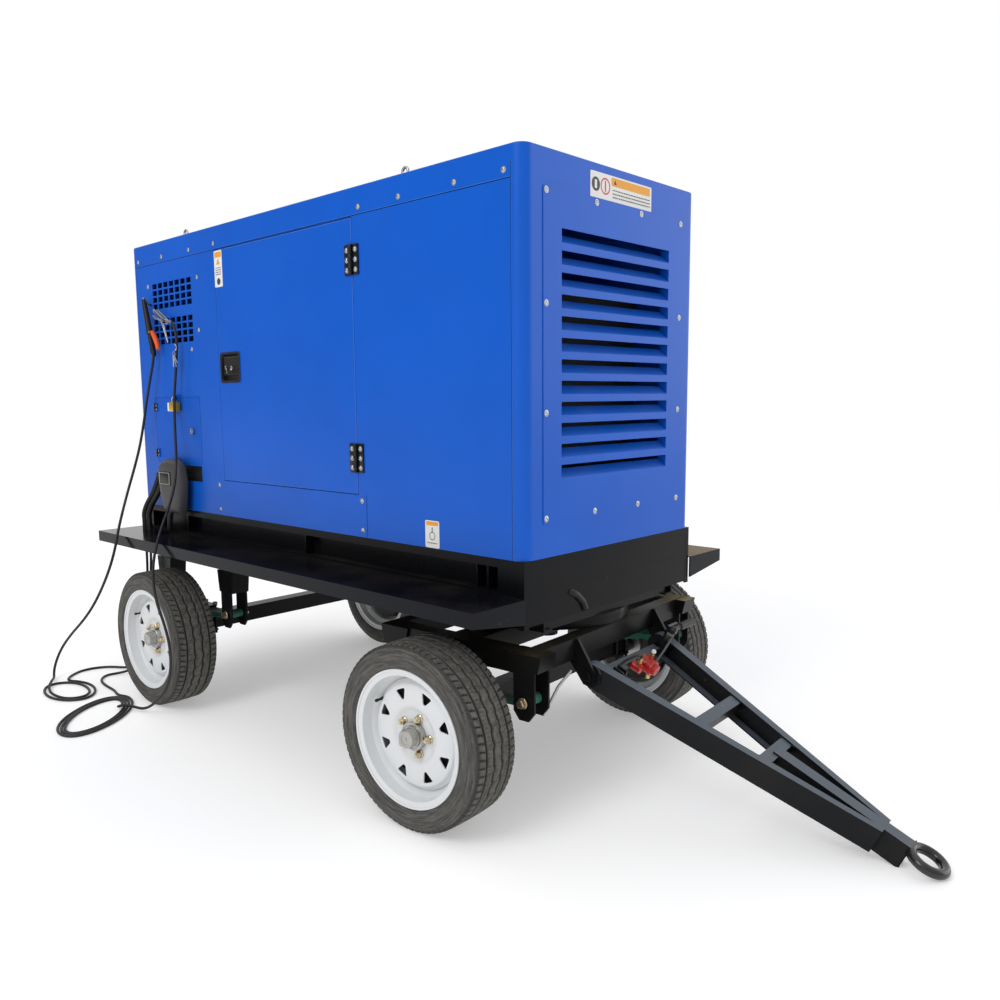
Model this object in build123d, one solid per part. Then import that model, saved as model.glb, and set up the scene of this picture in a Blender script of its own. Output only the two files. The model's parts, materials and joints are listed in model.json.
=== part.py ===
"""Canopied diesel generator-welder on a four-wheel drawbar trailer, as separate sub-parts in millimetres.

+X is towards the drawbar, -Y is the door and lead side, +Z is up, and the ground is z = 0.
"""
from build123d import *
import math
import os

os.makedirs("parts", exist_ok=True)

# Canopy
canopy_x = -525          # canopy centre, which centres the whole trailer on the origin
canopy_length, canopy_width = 2480, 970
canopy_bottom, canopy_top = 849, 2080
roof_seam = 1984         # height where the roof cover meets the side skins
sheet = 2.5              # skin thickness
corner_radius = 40       # vertical corners of the end shells
shell_return = 45        # how far an end shell wraps round onto the sides
gap = 3                  # shadow gap round doors and panels
# Doors
door_width, door_height, door_bottom = 921, 972, 1006
door_front = -76         # front edge, where the hinges are
door_return = 22         # depth of the folded door edges
hinge_heights = (1137, 1834)
hinge_length, hinge_leaf, hinge_plate = 104, 38, 4
pin_radius, running_fit = 4, 0.05
latch_x, latch_z, latch_wide, latch_tall = -909, 1488, 146, 118
# Inlet grids and service hatch
grid_left, grid_top = -1568, 1893
grid_columns, grid_rows, grid_pitch_x, grid_pitch_z = 7, 4, 53, 31
hole_wide, hole_tall, grid_block_drop = 42, 23, 163
hatch_left, hatch_right, hatch_bottom, hatch_top = -1599, -1183, 1064, 1367
slot_left, slot_right, slot_bottom, slot_top = -1578, -1190, 986, 1056
# Front louvre panel
louvre_panel_width, louvre_panel_bottom, louvre_panel_top = 790, 952, 1972
louvre_count, louvre_width, louvre_bottom, louvre_top = 12, 612, 1070, 1856
knob_x, knob_z, knob_stem = -1244, 1214, 5
panel_half, panel_low, panel_high = 250, 1420, 1760   # rear instrument window
eye_bore, eye_bar, eye_xs, eye_y = 10, 5, (-1327, 153), 430
# Skid base and deck
skid_flange, skid_web_inset = 28, 45
apron_bottom, corner_post_bottom = 642, 635
deck_length, deck_width, deck_top, deck_edge, deck_plate = 2504, 1440, 735, 48, 4
deck_front = 723
outrigger_root = 80      # depth of the front outrigger plates beside the apron
rail_height, rail_flange, rail_wall, rail_offset = 80, 43, 6, 360
cable_hole_xs, cable_hole_y, cable_hole_radius = (-1655, -1610), -545, 9
# Engine and exhaust
engine_x0, engine_x1, shaft_z = -250, 370, 1130
exhaust_x, exhaust_y, exhaust_radius = -420, -240, 30
# Running gear
front_axle_x, rear_axle_x = 408, -1262
steer_rest = 3.75        # degrees the front bogie stands turned to the left
tyre_radius, tyre_half_width = 300, 98
wheel_y = 666            # wheel centre plane
rim_half_width, rim_flange_radius, bead_radius = 91.5, 220.5, 203.5
axle_beam, axle_beam_z, spindle_radius = 70, 330, 20
spring_y, spring_half, spring_width, eye_z = 475, 280, 60, 412
cheek_gap, spring_pin = spring_width + 6, 10
spindle_end, hub_bore, nut_circle = 724, 43, 60
ring_radius, ring_bore, ring_height, ring_gap = 300, 235, 18, 0.5
bogie_top, bogie_depth = 567, 70
kingpin_radius = 25
# Drawbar
pitch = 24.4             # degrees down, with the tow eye on the ground
hinge_ahead = 350        # drawbar hinge ahead of the kingpin
drawbar_length, drawbar_depth, drawbar_flange, drawbar_wall = 1000, 80, 43, 6
hinge_half_width, nose_half_width, nose_back = 250, 45, 80
spine_width, spine_start = 50, 560
crossbar_at, crossbar_size = (350, 560), 40
drawbar_pin = 12
lever_s, lever_y, lever_up, lever_pin = 34, 188, 92, 6
tow_ring, tow_bar, tow_offset, tow_band = 48, 15, 50, 34
tow_drop = drawbar_depth / 2 - tow_bar   # ring plane above the beams' middle
hinge_z = (
    (drawbar_length + tow_offset + tow_ring) * math.sin(math.radians(pitch))
    - tow_drop * math.cos(math.radians(pitch)) + tow_bar
)

half_length, half_width = canopy_length / 2, canopy_width / 2
front_face, rear_face = canopy_x + half_length, canopy_x - half_length
deck_rear = deck_front - deck_length
rail_top = deck_top - deck_edge
rail_bottom = rail_top - rail_height
ring_top, ring_split = rail_bottom, rail_bottom - ring_height
pivot_x, pivot_y = door_front + gap / 2, -half_width - pin_radius - hinge_plate - 1
paddle_y, paddle_z = -half_width + 8, latch_z + latch_tall / 2 - 14


def block(x0, x1, y0, y1, z0, z1):
    """A box from its two opposite corners."""
    return Pos((x0 + x1) / 2, (y0 + y1) / 2, (z0 + z1) / 2) * Box(abs(x1 - x0), abs(y1 - y0), abs(z1 - z0))


def rod(start, end, radius):
    """A round bar between two points."""
    a, b = Vector(*start), Vector(*end)
    plane = Plane(origin=a, z_dir=(b - a).normalized())
    return plane * Cylinder(radius, (b - a).length, align=(Align.CENTER, Align.CENTER, Align.MIN))


def extruded(points, y0, y1):
    """A polygon drawn in X and Z, run along Y from y0 to y1."""
    wire = Polyline(*[(x, y0, z) for x, z in points], close=True)
    face = make_face(wire)
    return extrude(face, amount=y1 - y0, dir=(0, 1, 0))


def mirrored(shape):
    """The same shape on the +Y side."""
    return mirror(shape, about=Plane.XZ)


def steered(shape):
    """Turns a front bogie piece about the kingpin to where it stands."""
    return Pos(front_axle_x, 0, 0) * (Rot(0, 0, steer_rest) * shape)


def pitched(shape):
    """Places a drawbar piece, drawn flat from its hinge, down to the ground."""
    return steered(Pos(hinge_ahead, 0, hinge_z) * (Rot(0, pitch, 0) * shape))


def solid_list(*shapes):
    """All the separate solids in some shapes, however deep they are listed."""
    found = []
    for shape in shapes:
        found += solid_list(*shape) if isinstance(shape, (list, tuple)) else shape.solids()
    return found


def save(name, *shapes):
    solids = solid_list(*shapes)
    whole = solids[0] if len(solids) == 1 else Compound(children=solids)
    whole.label = name
    export_step(whole, f"parts/{name}.step")


def fused(first, *others):
    return first.fuse(*others).clean() if others else first


# ---------------------------------------------------------------- chassis and deck
def channel_x(x0, x1, y, z0, z1, flange, wall, side):
    """A channel along X whose web is at y and whose flanges point to side."""
    web = block(x0, x1, y, y + side * wall, z0, z1)
    low = block(x0, x1, y, y + side * flange, z0, z0 + wall)
    high = block(x0, x1, y, y + side * flange, z1 - wall, z1)
    return fused(web, low, high)


def hanger(x, y, top):
    """A tapered box with two cheek plates and the spring pin between them."""
    box_bottom, box_half, cheek_half, cheek = 512, 65, 40, 8
    shell = extruded(
        [(x - box_half, top), (x + box_half, top),
         (x + cheek_half + 12, box_bottom), (x - cheek_half - 12, box_bottom)],
        y - cheek_gap / 2 - cheek, y + cheek_gap / 2 + cheek,
    )
    cheeks = [
        extruded(
            [(x - cheek_half, box_bottom + 4), (x + cheek_half, box_bottom + 4), (x + cheek_half, eye_z - 30),
             (x + 18, eye_z - 58), (x - 18, eye_z - 58), (x - cheek_half, eye_z - 30)],
            y + side * cheek_gap / 2, y + side * (cheek_gap / 2 + cheek),
        )
        for side in (-1, 1)
    ]
    pin = rod((x, y - cheek_gap / 2 - 14, eye_z), (x, y + cheek_gap / 2 + 14, eye_z), spring_pin)
    return fused(shell, *cheeks, pin)


def chassis_frame():
    """Rails, cross-members and spring hangers as welded members, each a solid of its own."""
    front = front_face - 8
    rails = []
    for side in (-1, 1):
        rails.append(channel_x(deck_rear + 6, front, side * (rail_offset + rail_flange / 2),
                               rail_bottom, rail_top, rail_flange, rail_wall, -side))
    hanger_xs = (rear_axle_x - spring_half, rear_axle_x + spring_half)
    reach = spring_y + cheek_gap / 2 + 8
    members = []
    for x in hanger_xs:
        members.append(block(x - 30, x + 30, -reach, reach, rail_bottom, rail_top) - rails)
    over_ring = [front_axle_x + dx for dx in (40 - ring_radius, 0, ring_radius - 40)]
    for x in over_ring + [-560, deck_rear + 40]:
        members.append(block(x - 25, x + 25, -rail_offset, rail_offset, rail_bottom, rail_top) - rails)
    hangers = []
    for x in hanger_xs:
        for side in (-1, 1):
            hangers.append(hanger(x, side * spring_y, rail_bottom + 1) - block(
                x - 200, x + 200, side * spring_y - 200, side * spring_y + 200, rail_bottom, rail_top))
    return rails + members + hangers


def deck():
    half = deck_width / 2
    edge_wall = 5
    under = deck_top - deck_plate
    inner = half - edge_wall
    pieces = []
    for side in (-1, 1):
        pieces.append(block(deck_rear, deck_front, side * half, side * inner, rail_top, under))
        root, tip = half_width + 3, inner
        low = deck_top - outrigger_root
        outline = [(root, under), (tip, under), (tip, rail_top), (root, low)]
        wire = Polyline(*[(deck_front - 6, side * y, z) for y, z in outline], close=True)
        pieces.append(extrude(make_face(wire), amount=6, dir=(1, 0, 0)))
    pieces.append(block(deck_rear, deck_rear + edge_wall, -inner, inner, rail_top, under))
    bearers = (deck_rear + 250, deck_rear + 700, -600, -150, 250)
    for x in bearers:
        pieces.append(block(x - 20, x + 20, -inner, inner, rail_top, under))
    notch = block(front_face - 28, deck_front + 1, -half_width - 3, half_width + 3,
                  rail_top - 100, deck_top + 1)
    cable_holes = [Pos(x, cable_hole_y, deck_top) * Cylinder(cable_hole_radius, 40) for x in cable_hole_xs]
    plate = block(deck_rear, deck_front, -half, half, under, deck_top) - notch - cable_holes
    return [plate] + pieces


def skid_base():
    x0, x1 = rear_face, front_face
    flange_z = canopy_bottom - skid_flange
    pieces = []
    ring = block(x0, x1, -half_width, half_width, flange_z, canopy_bottom)
    ring = ring - block(x0 + 60, x1 - 60, -half_width + 60, half_width - 60, flange_z - 1, canopy_bottom + 1)
    foot = block(x0, x1, -half_width + 4, half_width - 4, deck_top, deck_top + 8)
    foot = foot - block(x0 + 70, x1 - 70, -half_width + 70, half_width - 70, deck_top - 1, deck_top + 9)
    pieces += [ring, foot]
    web = half_width - skid_web_inset
    low, high = deck_top + 7, flange_z + 1
    for side in (-1, 1):
        pieces.append(block(x0 + 5, x1 - 5, side * web, side * (web - 5), low, high))
        for x, wide in ((canopy_x + 95, 8), (canopy_x + 1029, 8), (canopy_x + 1077, 8), (canopy_x - 840, 8)):
            pieces.append(block(x, x + wide, side * (half_width - 8), side * web, low, high))
        for end0, end1 in ((x0 + 5, x0 + 70), (x1 - 112, x1 - 5)):
            pieces.append(block(end0, end1, side * (half_width - 4), side * (web - 2), low, high))
        for thick, wide in ((25, 6), (6, 22)):
            pieces.append(block(x1 - thick, x1, side * half_width, side * (half_width - wide),
                                corner_post_bottom, canopy_bottom))
        pieces.append(block(x0 + 60, x1 - 60, side * 220, side * 280, canopy_bottom - 60, canopy_bottom))
    pieces.append(block(x1 - 5.5, x1 - 0.5, -half_width + 2, half_width - 2, apron_bottom, canopy_bottom))
    pieces.append(block(x0, x0 + 5, -half_width, half_width, deck_top, canopy_bottom))
    for x in (x0 + 100, canopy_x - 640, canopy_x + 260, canopy_x + 760, x1 - 140):
        pieces.append(block(x - 20, x + 20, -web, web, deck_top + 7, canopy_bottom - 58))
    return fused(*pieces)


def fuel_tank():
    x0, x1 = canopy_x - 600, canopy_x + 220
    outer = block(x0, x1, -212, 212, deck_top, canopy_bottom - 2)
    inner = block(x0 + 3, x1 - 3, -209, 209, deck_top + 3, canopy_bottom - 5)
    filler = Pos(x1 - 90, 150, canopy_bottom + 8) * Cylinder(30, 40)
    return fused(outer, filler) - inner


# ---------------------------------------------------------------- canopy
def shell_outline(x_end, inset):
    """The plan of an end shell: a flat end with two rounded corners, offset inwards by inset."""
    sign = 1 if x_end > canopy_x else -1
    back = x_end - sign * shell_return
    end, side, radius = x_end - sign * inset, half_width - inset, corner_radius - inset
    square = block(min(back, end), max(back, end), -side, side, canopy_bottom, canopy_top - inset)
    corners = square.edges().filter_by(Axis.Z).group_by(Axis.X)[-1 if sign > 0 else 0]
    return fillet(corners, radius)


def end_shell(x_end):
    """End face, rounded corners, side returns and a top return."""
    sign = 1 if x_end > canopy_x else -1
    back = x_end - sign * shell_return
    outer = shell_outline(x_end, 0)
    top_edges = outer.edges().group_by(Axis.Z)[-1].filter_by(lambda e: abs(e.center().X - back) > 1)
    outer = fillet(top_edges, 6)
    inner = shell_outline(x_end, sheet)
    inner = inner + block(back - 1, back + 1, -half_width + sheet, half_width - sheet,
                          canopy_bottom, canopy_top - sheet)
    inner = inner + block(min(back, x_end - sign * corner_radius), max(back, x_end - sign * corner_radius),
                          -half_width + sheet, half_width - sheet, canopy_bottom - 1, canopy_bottom + 20)
    return outer - inner


def front_shell():
    half = louvre_panel_width / 2 - 24
    opening = block(front_face - 60, front_face + 1, -half, half,
                    louvre_panel_bottom + 24, louvre_panel_top - 24)
    return end_shell(front_face) - opening


def rear_shell():
    window = block(rear_face - 1, rear_face + 60, -panel_half, panel_half, panel_low, panel_high)
    vent = [block(rear_face - 1, rear_face + 10, -260, 260, z, z + 18) for z in range(1010, 1250, 40)]
    return end_shell(rear_face) - window - vent


def grid_holes(y0, y1):
    holes = []
    for block_index in range(2):
        top = grid_top - block_index * grid_block_drop
        for column in range(grid_columns):
            for row in range(grid_rows):
                x = grid_left + column * grid_pitch_x
                z = top - row * grid_pitch_z
                holes.append(block(x, x + hole_wide, y0, y1, z - hole_tall, z))
    return holes


def side_panel():
    """The -Y side skin, with its door opening, grid window, hatch opening and cable slot."""
    x0, x1 = rear_face + shell_return, front_face - shell_return
    outer = -half_width
    skin = block(x0, x1, outer, outer + sheet, canopy_bottom, roof_seam)
    door_x0, door_x1 = door_front - door_width - gap, door_front + gap
    door_z0, door_z1 = door_bottom - gap, door_bottom + door_height + gap
    opening = block(door_x0, door_x1, outer - 1, outer + 40, door_z0, door_z1)
    jamb = block(door_x0 - sheet, door_x1 + sheet, outer, outer + door_return + 8,
                 door_z0 - sheet, door_z1 + sheet)
    width = grid_columns * grid_pitch_x
    drop = grid_block_drop + grid_rows * grid_pitch_z
    grid_window = block(grid_left - 8, grid_left + width + 2, outer - 1, outer + 10,
                        grid_top - drop, grid_top + 8)
    hatch = block(hatch_left - 2, hatch_right + 2, outer - 1, outer + 10, hatch_bottom - 2, hatch_top + 2)
    slot = block(slot_left, slot_right, outer - 1, outer + 10, slot_bottom, slot_top)
    lap = block(x0, x1, outer + sheet, outer + 2 * sheet, roof_seam - 30, roof_seam)
    return fused(skin, jamb, lap) - opening - grid_window - hatch - slot


def side_panel_plain():
    """The +Y side skin: the same door and grid, with no hatch or cable slot."""
    outer = -half_width
    hatch = block(hatch_left - 2, hatch_right + 2, outer, outer + sheet, hatch_bottom - 2, hatch_top + 2)
    slot = block(slot_left, slot_right, outer, outer + sheet, slot_bottom, slot_top)
    return mirrored(fused(side_panel(), hatch, slot))


def inlet_grids():
    outer = -half_width
    width = grid_columns * grid_pitch_x
    drop = grid_block_drop + grid_rows * grid_pitch_z
    x0, x1, z0, z1 = grid_left - 8, grid_left + width + 2, grid_top - drop, grid_top + 8
    plate = block(x0, x1, outer, outer + sheet, z0, z1)
    flange = block(x0 - 20, x1 + 20, outer + sheet, outer + 2 * sheet, z0 - 20, z1 + 20)
    grid = fused(plate, flange) - grid_holes(outer - 1, outer + 10)
    return [grid, mirrored(grid)]


def roof_cover():
    x0, x1 = rear_face + shell_return, front_face - shell_return
    outlet = Pos(exhaust_x, exhaust_y, canopy_top) * Cylinder(exhaust_radius + 4, 40)
    outer = block(x0, x1, -half_width, half_width, roof_seam, canopy_top)
    outer = fillet(outer.edges().filter_by(Axis.X).group_by(Axis.Z)[-1], 6)
    inner = block(x0 - 1, x1 + 1, -half_width + sheet, half_width - sheet, roof_seam - 1, canopy_top - sheet)
    return outer - inner - outlet


def louvre_panel():
    """Bolted front panel: each louvre slopes down and out to a short upright lip."""
    outer = front_face + sheet
    plate = block(front_face, outer, -louvre_panel_width / 2, louvre_panel_width / 2,
                  louvre_panel_bottom, louvre_panel_top)
    plate = fillet(plate.edges().filter_by(Axis.X), 12)
    opening = block(front_face - 1, outer + 1, -louvre_width / 2, louvre_width / 2, louvre_bottom, louvre_top)
    pieces = [plate - opening]
    louvre_pitch = (louvre_top - louvre_bottom) / louvre_count
    lip, depth, rise, thick = louvre_pitch * 0.36, 30, louvre_pitch * 0.42, 1.6
    for index in range(louvre_count):
        z = louvre_bottom + index * louvre_pitch
        blade = extruded(
            [(outer, z), (outer, z + lip), (outer - depth, z + lip + rise),
             (outer - depth - thick, z + lip + rise - thick), (outer - thick, z + lip - thick * 0.7),
             (outer - thick, z)],
            -louvre_width / 2 - 0.5, louvre_width / 2 + 0.5,
        )
        pieces.append(blade)
    for side in (-1, 1):
        half = side * louvre_width / 2
        cheek = block(front_face - depth - 2, front_face, half, half + side * 1.6,
                      louvre_bottom - 2, louvre_top + 2)
        pieces.append(cheek)
    return fused(*pieces)


# ---------------------------------------------------------------- bolts, eyes
def bolt_y(x, z, radius=6, head=4):
    """A domed bolt head on the -Y skin."""
    return Pos(x, -half_width - head / 2, z) * (Rot(90, 0, 0) * Cylinder(radius, head))


def panel_bolts():
    heads = []
    roof_bolts = [canopy_x + x for x in (-1170, -940, -690, -480, 490, 700, 960, 1165)]
    strip_bolts = [(canopy_x + x, z) for x in (-518, 470) for z in (875, 983)]
    for x, z in [(x, roof_seam + 25) for x in roof_bolts] + strip_bolts:
        heads.append(bolt_y(x, z))
    for x, z in ((-1610, 1887), (-1152, 1886), (-1156, 1660), (-1227, 1580)):
        heads.append(bolt_y(x, z))
    heads += [mirrored(head) for head in list(heads)]
    span_y = louvre_panel_width / 2 - 14
    for z in (louvre_panel_bottom + 20, louvre_panel_top - 15):
        for y in (-span_y, -span_y / 3, span_y / 3, span_y):
            heads.append(Pos(front_face + sheet + 2, y, z) * (Rot(0, 90, 0) * Cylinder(6, 4)))
    for z in (1298, 1628):
        for y in (-span_y, span_y):
            heads.append(Pos(front_face + sheet + 2, y, z) * (Rot(0, 90, 0) * Cylinder(6, 4)))
    return heads


def lifting_eyes():
    eyes = []
    for x in eye_xs:
        for side in (-1, 1):
            boss = Pos(x, side * eye_y, canopy_top + 4) * Cylinder(11, 8)
            ring = Rot(90, 0, 0) * (Torus(eye_bore + eye_bar - 1, eye_bar) - Cylinder(eye_bore, 20))
            bore = Rot(90, 0, 0) * Cylinder(eye_bore, 24)
            centre = Pos(x, side * eye_y, canopy_top + 20)
            eyes.append(fused(boss, centre * ring) - centre * bore)
    return eyes


# ---------------------------------------------------------------- doors
def knuckle(z0, z1):
    return Pos(pivot_x, pivot_y, (z0 + z1) / 2) * Cylinder(pin_radius + 3, z1 - z0)


def hinge_bracket(z):
    """Fixed half: a plate on the skin and two bored end knuckles."""
    skin = -half_width
    half = hinge_length / 2
    plate = block(pivot_x + 9, pivot_x + hinge_leaf, skin - hinge_plate, skin, z - half, z + half)
    third = hinge_length / 3
    pieces = [plate]
    for low in (z - half, z + half - third + 0.5):
        high = low + third - 0.5
        tongue = block(pivot_x, pivot_x + 12, skin - hinge_plate, skin - 1, low, high)
        pieces += [tongue, knuckle(low, high)]
    bore = Pos(pivot_x, pivot_y, z) * Cylinder(pin_radius + running_fit, hinge_length + 2)
    return fused(*pieces) - bore


def hinge_moving(z):
    """Moving half: a plate on the door, the middle knuckle and the pin."""
    skin = -half_width
    plate = block(pivot_x - hinge_leaf, pivot_x - 9, skin - hinge_plate, skin,
                  z - hinge_length / 2, z + hinge_length / 2)
    half = hinge_length / 6 - 0.25
    tongue = block(pivot_x - 12, pivot_x, skin - hinge_plate, skin - 1, z - half, z + half)
    pin = Pos(pivot_x, pivot_y, z) * Cylinder(pin_radius, hinge_length)
    return fused(plate, tongue, knuckle(z - half, z + half), pin)


def door():
    skin = -half_width
    x0, x1 = door_front - door_width, door_front
    z0, z1 = door_bottom, door_bottom + door_height
    outer = block(x0, x1, skin, skin + door_return, z0, z1)
    inner = block(x0 + sheet, x1 - sheet, skin + sheet, skin + door_return + 1, z0 + sheet, z1 - sheet)
    pocket = block(latch_x - latch_wide / 2, latch_x + latch_wide / 2, skin - 1, skin + door_return + 1,
                   latch_z - latch_tall / 2, latch_z + latch_tall / 2)
    return [outer - inner - pocket] + [hinge_moving(z) for z in hinge_heights]


def latch_case():
    """A dish let into the door, whose rim laps the skin."""
    skin = -half_width
    x0, x1 = latch_x - latch_wide / 2, latch_x + latch_wide / 2
    z0, z1 = latch_z - latch_tall / 2, latch_z + latch_tall / 2
    rim = block(x0 - 6, x1 + 6, skin - 2, skin, z0 - 6, z1 + 6)
    dish = block(x0 + 0.5, x1 - 0.5, skin - 2, skin + 20, z0 + 0.5, z1 - 0.5)
    hollow = block(x0 + 4, x1 - 4, skin - 3, skin + 17, z0 + 4, z1 - 4)
    return fused(rim, dish) - hollow


def latch_paddle():
    """The finger plate in the dish, which swings out about its top edge."""
    x0, x1 = latch_x - latch_wide / 2 + 14, latch_x + latch_wide / 2 - 14
    plate = block(x0, x1, paddle_y - 4, paddle_y + 1, latch_z - 32, paddle_z + 2)
    reach = latch_wide / 2 - 4 - 0.3
    axle = rod((latch_x - reach, paddle_y, paddle_z), (latch_x + reach, paddle_y, paddle_z), 5)
    lock = Pos(latch_x, paddle_y - 3, latch_z - 2) * (Rot(90, 0, 0) * Cylinder(9, 6))
    return fused(plate, axle, lock)


def hatch():
    outer = -half_width
    plate = block(hatch_left, hatch_right, outer, outer + sheet, hatch_bottom, hatch_top)
    frame = block(hatch_left - 14, hatch_right + 14, outer + sheet, outer + 2 * sheet,
                  hatch_bottom - 7, hatch_top + 14)
    frame = frame - block(hatch_left + 10, hatch_right - 10, outer, outer + 10,
                          hatch_bottom + 10, hatch_top - 10)
    hinges = [block(hatch_left - 14, hatch_left + 22, outer - 4, outer, z - 20, z + 20) for z in (1106, 1322)]
    bore = Pos(knob_x, outer, knob_z) * (Rot(90, 0, 0) * Cylinder(knob_stem + running_fit, 20))
    return [fused(plate, frame) - bore] + hinges


def hatch_knob():
    head = Pos(knob_x, -half_width - 7, knob_z) * (Rot(90, 0, 0) * Cylinder(13, 13.4))
    wing = block(knob_x - 3, knob_x + 3, -half_width - 18, -half_width - 12, knob_z - 13, knob_z + 13)
    stem = rod((knob_x, -half_width - 2, knob_z), (knob_x, -half_width + 18, knob_z), knob_stem)
    cam = block(knob_x - 6, knob_x + 6, -half_width + 14, -half_width + 18, knob_z - 20, knob_z + 6)
    return fused(head, wing, stem, cam)


# ---------------------------------------------------------------- generator set inside
def engine_block():
    crankcase = block(engine_x0, engine_x1, -150, 150, 930, 1230)
    sump = block(engine_x0 + 60, engine_x1 - 40, -120, 120, 870, 932)
    feet = [block(x - 30, x + 30, -280, 280, canopy_bottom + 42, canopy_bottom + 52) for x in (-140, 300)]
    arms = [block(x - 20, x + 20, -200, 200, canopy_bottom + 50, 945) for x in (-140, 300)]
    mounts = [Pos(x, y, canopy_bottom + 21) * Cylinder(28, 42) for x in (-140, 300) for y in (-250, 250)]
    nose = Pos(engine_x1 + 20, 0, shaft_z) * (Rot(0, 90, 0) * Cylinder(60, 40))
    bore = Pos(engine_x1 + 20, 0, shaft_z) * (Rot(0, 90, 0) * Cylinder(14 + running_fit, 60))
    return fused(crankcase, sump, *feet, *arms, *mounts, nose) - bore


def cylinder_head():
    head = block(engine_x0 + 30, engine_x1 - 30, -110, 110, 1230, 1330)
    cover = block(engine_x0 + 60, engine_x1 - 60, -80, 80, 1330, 1395)
    return fused(head, fillet(cover.edges().filter_by(Axis.Z), 20))


def alternator():
    x0, x1 = -760, engine_x0
    body = Pos((x0 + x1) / 2, 0, shaft_z) * (Rot(0, 90, 0) * Cylinder(200, x1 - x0))
    feet = [block(x0 + 60, x1 - 90, side * 220, side * 280, canopy_bottom, 935) for side in (-1, 1)]
    saddle = block(x0 + 60, x1 - 90, -220, 220, 925, 960)
    box = block(x0 + 60, x1 - 160, -150, 150, shaft_z + 170, shaft_z + 330)
    return fused(body, *feet, saddle, box)


def cooling_fan():
    hub_x = engine_x1 + 66
    hub = Pos(hub_x, 0, shaft_z) * (Rot(0, 90, 0) * Cylinder(55, 36))
    shaft = rod((engine_x1 + 2, 0, shaft_z), (hub_x, 0, shaft_z), 14)
    pieces = [hub, shaft]
    for index in range(7):
        blade = Pos(0, 0, 135) * (Rot(0, 0, 32) * Box(5, 74, 190))
        pieces.append(Pos(hub_x, 0, shaft_z) * (Rot(index * 360 / 7, 0, 0) * blade))
    return fused(*pieces)


def radiator():
    x0 = engine_x1 + 130
    core = block(x0, x0 + 60, -330, 330, 900, 1660)
    tanks = [block(x0 - 5, x0 + 65, -330, 330, z, z + 60) for z in (canopy_bottom, 1650)]
    shroud = block(x0 - 40, x0, -260, 260, shaft_z - 250, shaft_z + 250)
    shroud = shroud - Pos(x0 - 20, 0, shaft_z) * (Rot(0, 90, 0) * Cylinder(245, 60))
    return fused(core, *tanks, shroud)


def air_filter():
    body = Pos(-100, 270, 1480) * (Rot(0, 90, 0) * Cylinder(85, 360))
    duct = rod((60, 270, 1480), (150, 90, 1300), 30)
    bracket = block(-150, -50, 60, 270, 1400, 1410)
    post = block(-150, -50, 60, 100, 1330, 1410)
    return fused(body, duct, bracket, post) - cylinder_head()


def muffler():
    body = Pos(-60, exhaust_y, 1560) * (Rot(0, 90, 0) * Cylinder(95, 460))
    inlet = rod((120, -100, 1280), (120, exhaust_y, 1500), 32)
    strap = block(-120, -100, -200, -60, 1380, 1500)
    tail = rod((-280, exhaust_y, 1560), (exhaust_x, exhaust_y, 1560), exhaust_radius)
    riser = rod((exhaust_x, exhaust_y, 1530), (exhaust_x, exhaust_y, canopy_top + 1), exhaust_radius)
    return fused(body, inlet, strap, tail, riser) - cylinder_head()


def battery():
    tray = block(-1290, -930, -300, -110, canopy_bottom, canopy_bottom + 6)
    case = block(-1280, -940, -290, -120, canopy_bottom + 6, canopy_bottom + 216)
    posts = [Pos(x, -205, canopy_bottom + 224) * Cylinder(9, 18) for x in (-1250, -970)]
    return fused(tray, case, *posts)


def control_panel():
    """Cabinet behind the rear window, on a stand that rests on the skid base."""
    face = rear_face + 4
    cabinet = block(face, face + 210, -panel_half - 20, panel_half + 20, panel_low - 30, panel_high + 30)
    legs = [block(face + 30, face + 70, side * 225, side * 265, canopy_bottom, panel_low - 28)
            for side in (-1, 1)]
    return fused(cabinet, *legs)


def terminal_board():
    """Insulating board across the cable slot, with two stud terminals and their clamps."""
    board = block(slot_left - 15, slot_right + 15, -half_width + 30, -half_width + 42,
                  slot_bottom - 90, slot_top - 1)
    studs = [rod((x, -half_width + 6, 1020), (x, -half_width + 31, 1020), 7) for x in (-1440, -1350)]
    brackets = [block(x - 3, x + 3, -half_width + sheet, -half_width + 31, 900, 1050) for x in (-1585, -1185)]
    return fused(board, *studs, *brackets)


def conduits():
    """Two corrugated sleeves from the cable slot down to the holes in the deck."""
    tubes = []
    for x in cable_hole_xs:
        top = (x + 95, -half_width - 16, 1008)
        route = [top, (x + 60, cable_hole_y + 22, 915), (x, cable_hole_y, 825), (x, cable_hole_y, deck_top)]
        path = FilletPolyline(*route, radius=60)
        tube = sweep(Plane(origin=top, z_dir=path % 0) * Circle(13), path=path)
        clip = block(x + 81, x + 109, -half_width - 29, -half_width + 30, 992, 1012)
        tubes.append(fused(tube, clip))
    return tubes


# ---------------------------------------------------------------- turntable and bogie
def turntable_ring():
    """Upper race under the chassis, with the kingpin that hangs through the bogie's hub."""
    x = front_axle_x
    race = Pos(x, 0, (ring_split + ring_top) / 2) * Cylinder(ring_radius, ring_height)
    race = race - Pos(x, 0, (ring_split + ring_top) / 2) * Cylinder(ring_bore, ring_height + 2)
    arm = block(x - ring_bore - 5, x + ring_bore + 5, -40, 40, ring_top - 10, ring_top)
    pin = rod((x, 0, ring_top), (x, 0, bogie_top - bogie_depth - 20), kingpin_radius)
    nut = rod((x, 0, bogie_top - bogie_depth - 20.5), (x, 0, bogie_top - bogie_depth - 0.5), 42)
    return fused(race, arm, pin, nut)


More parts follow.
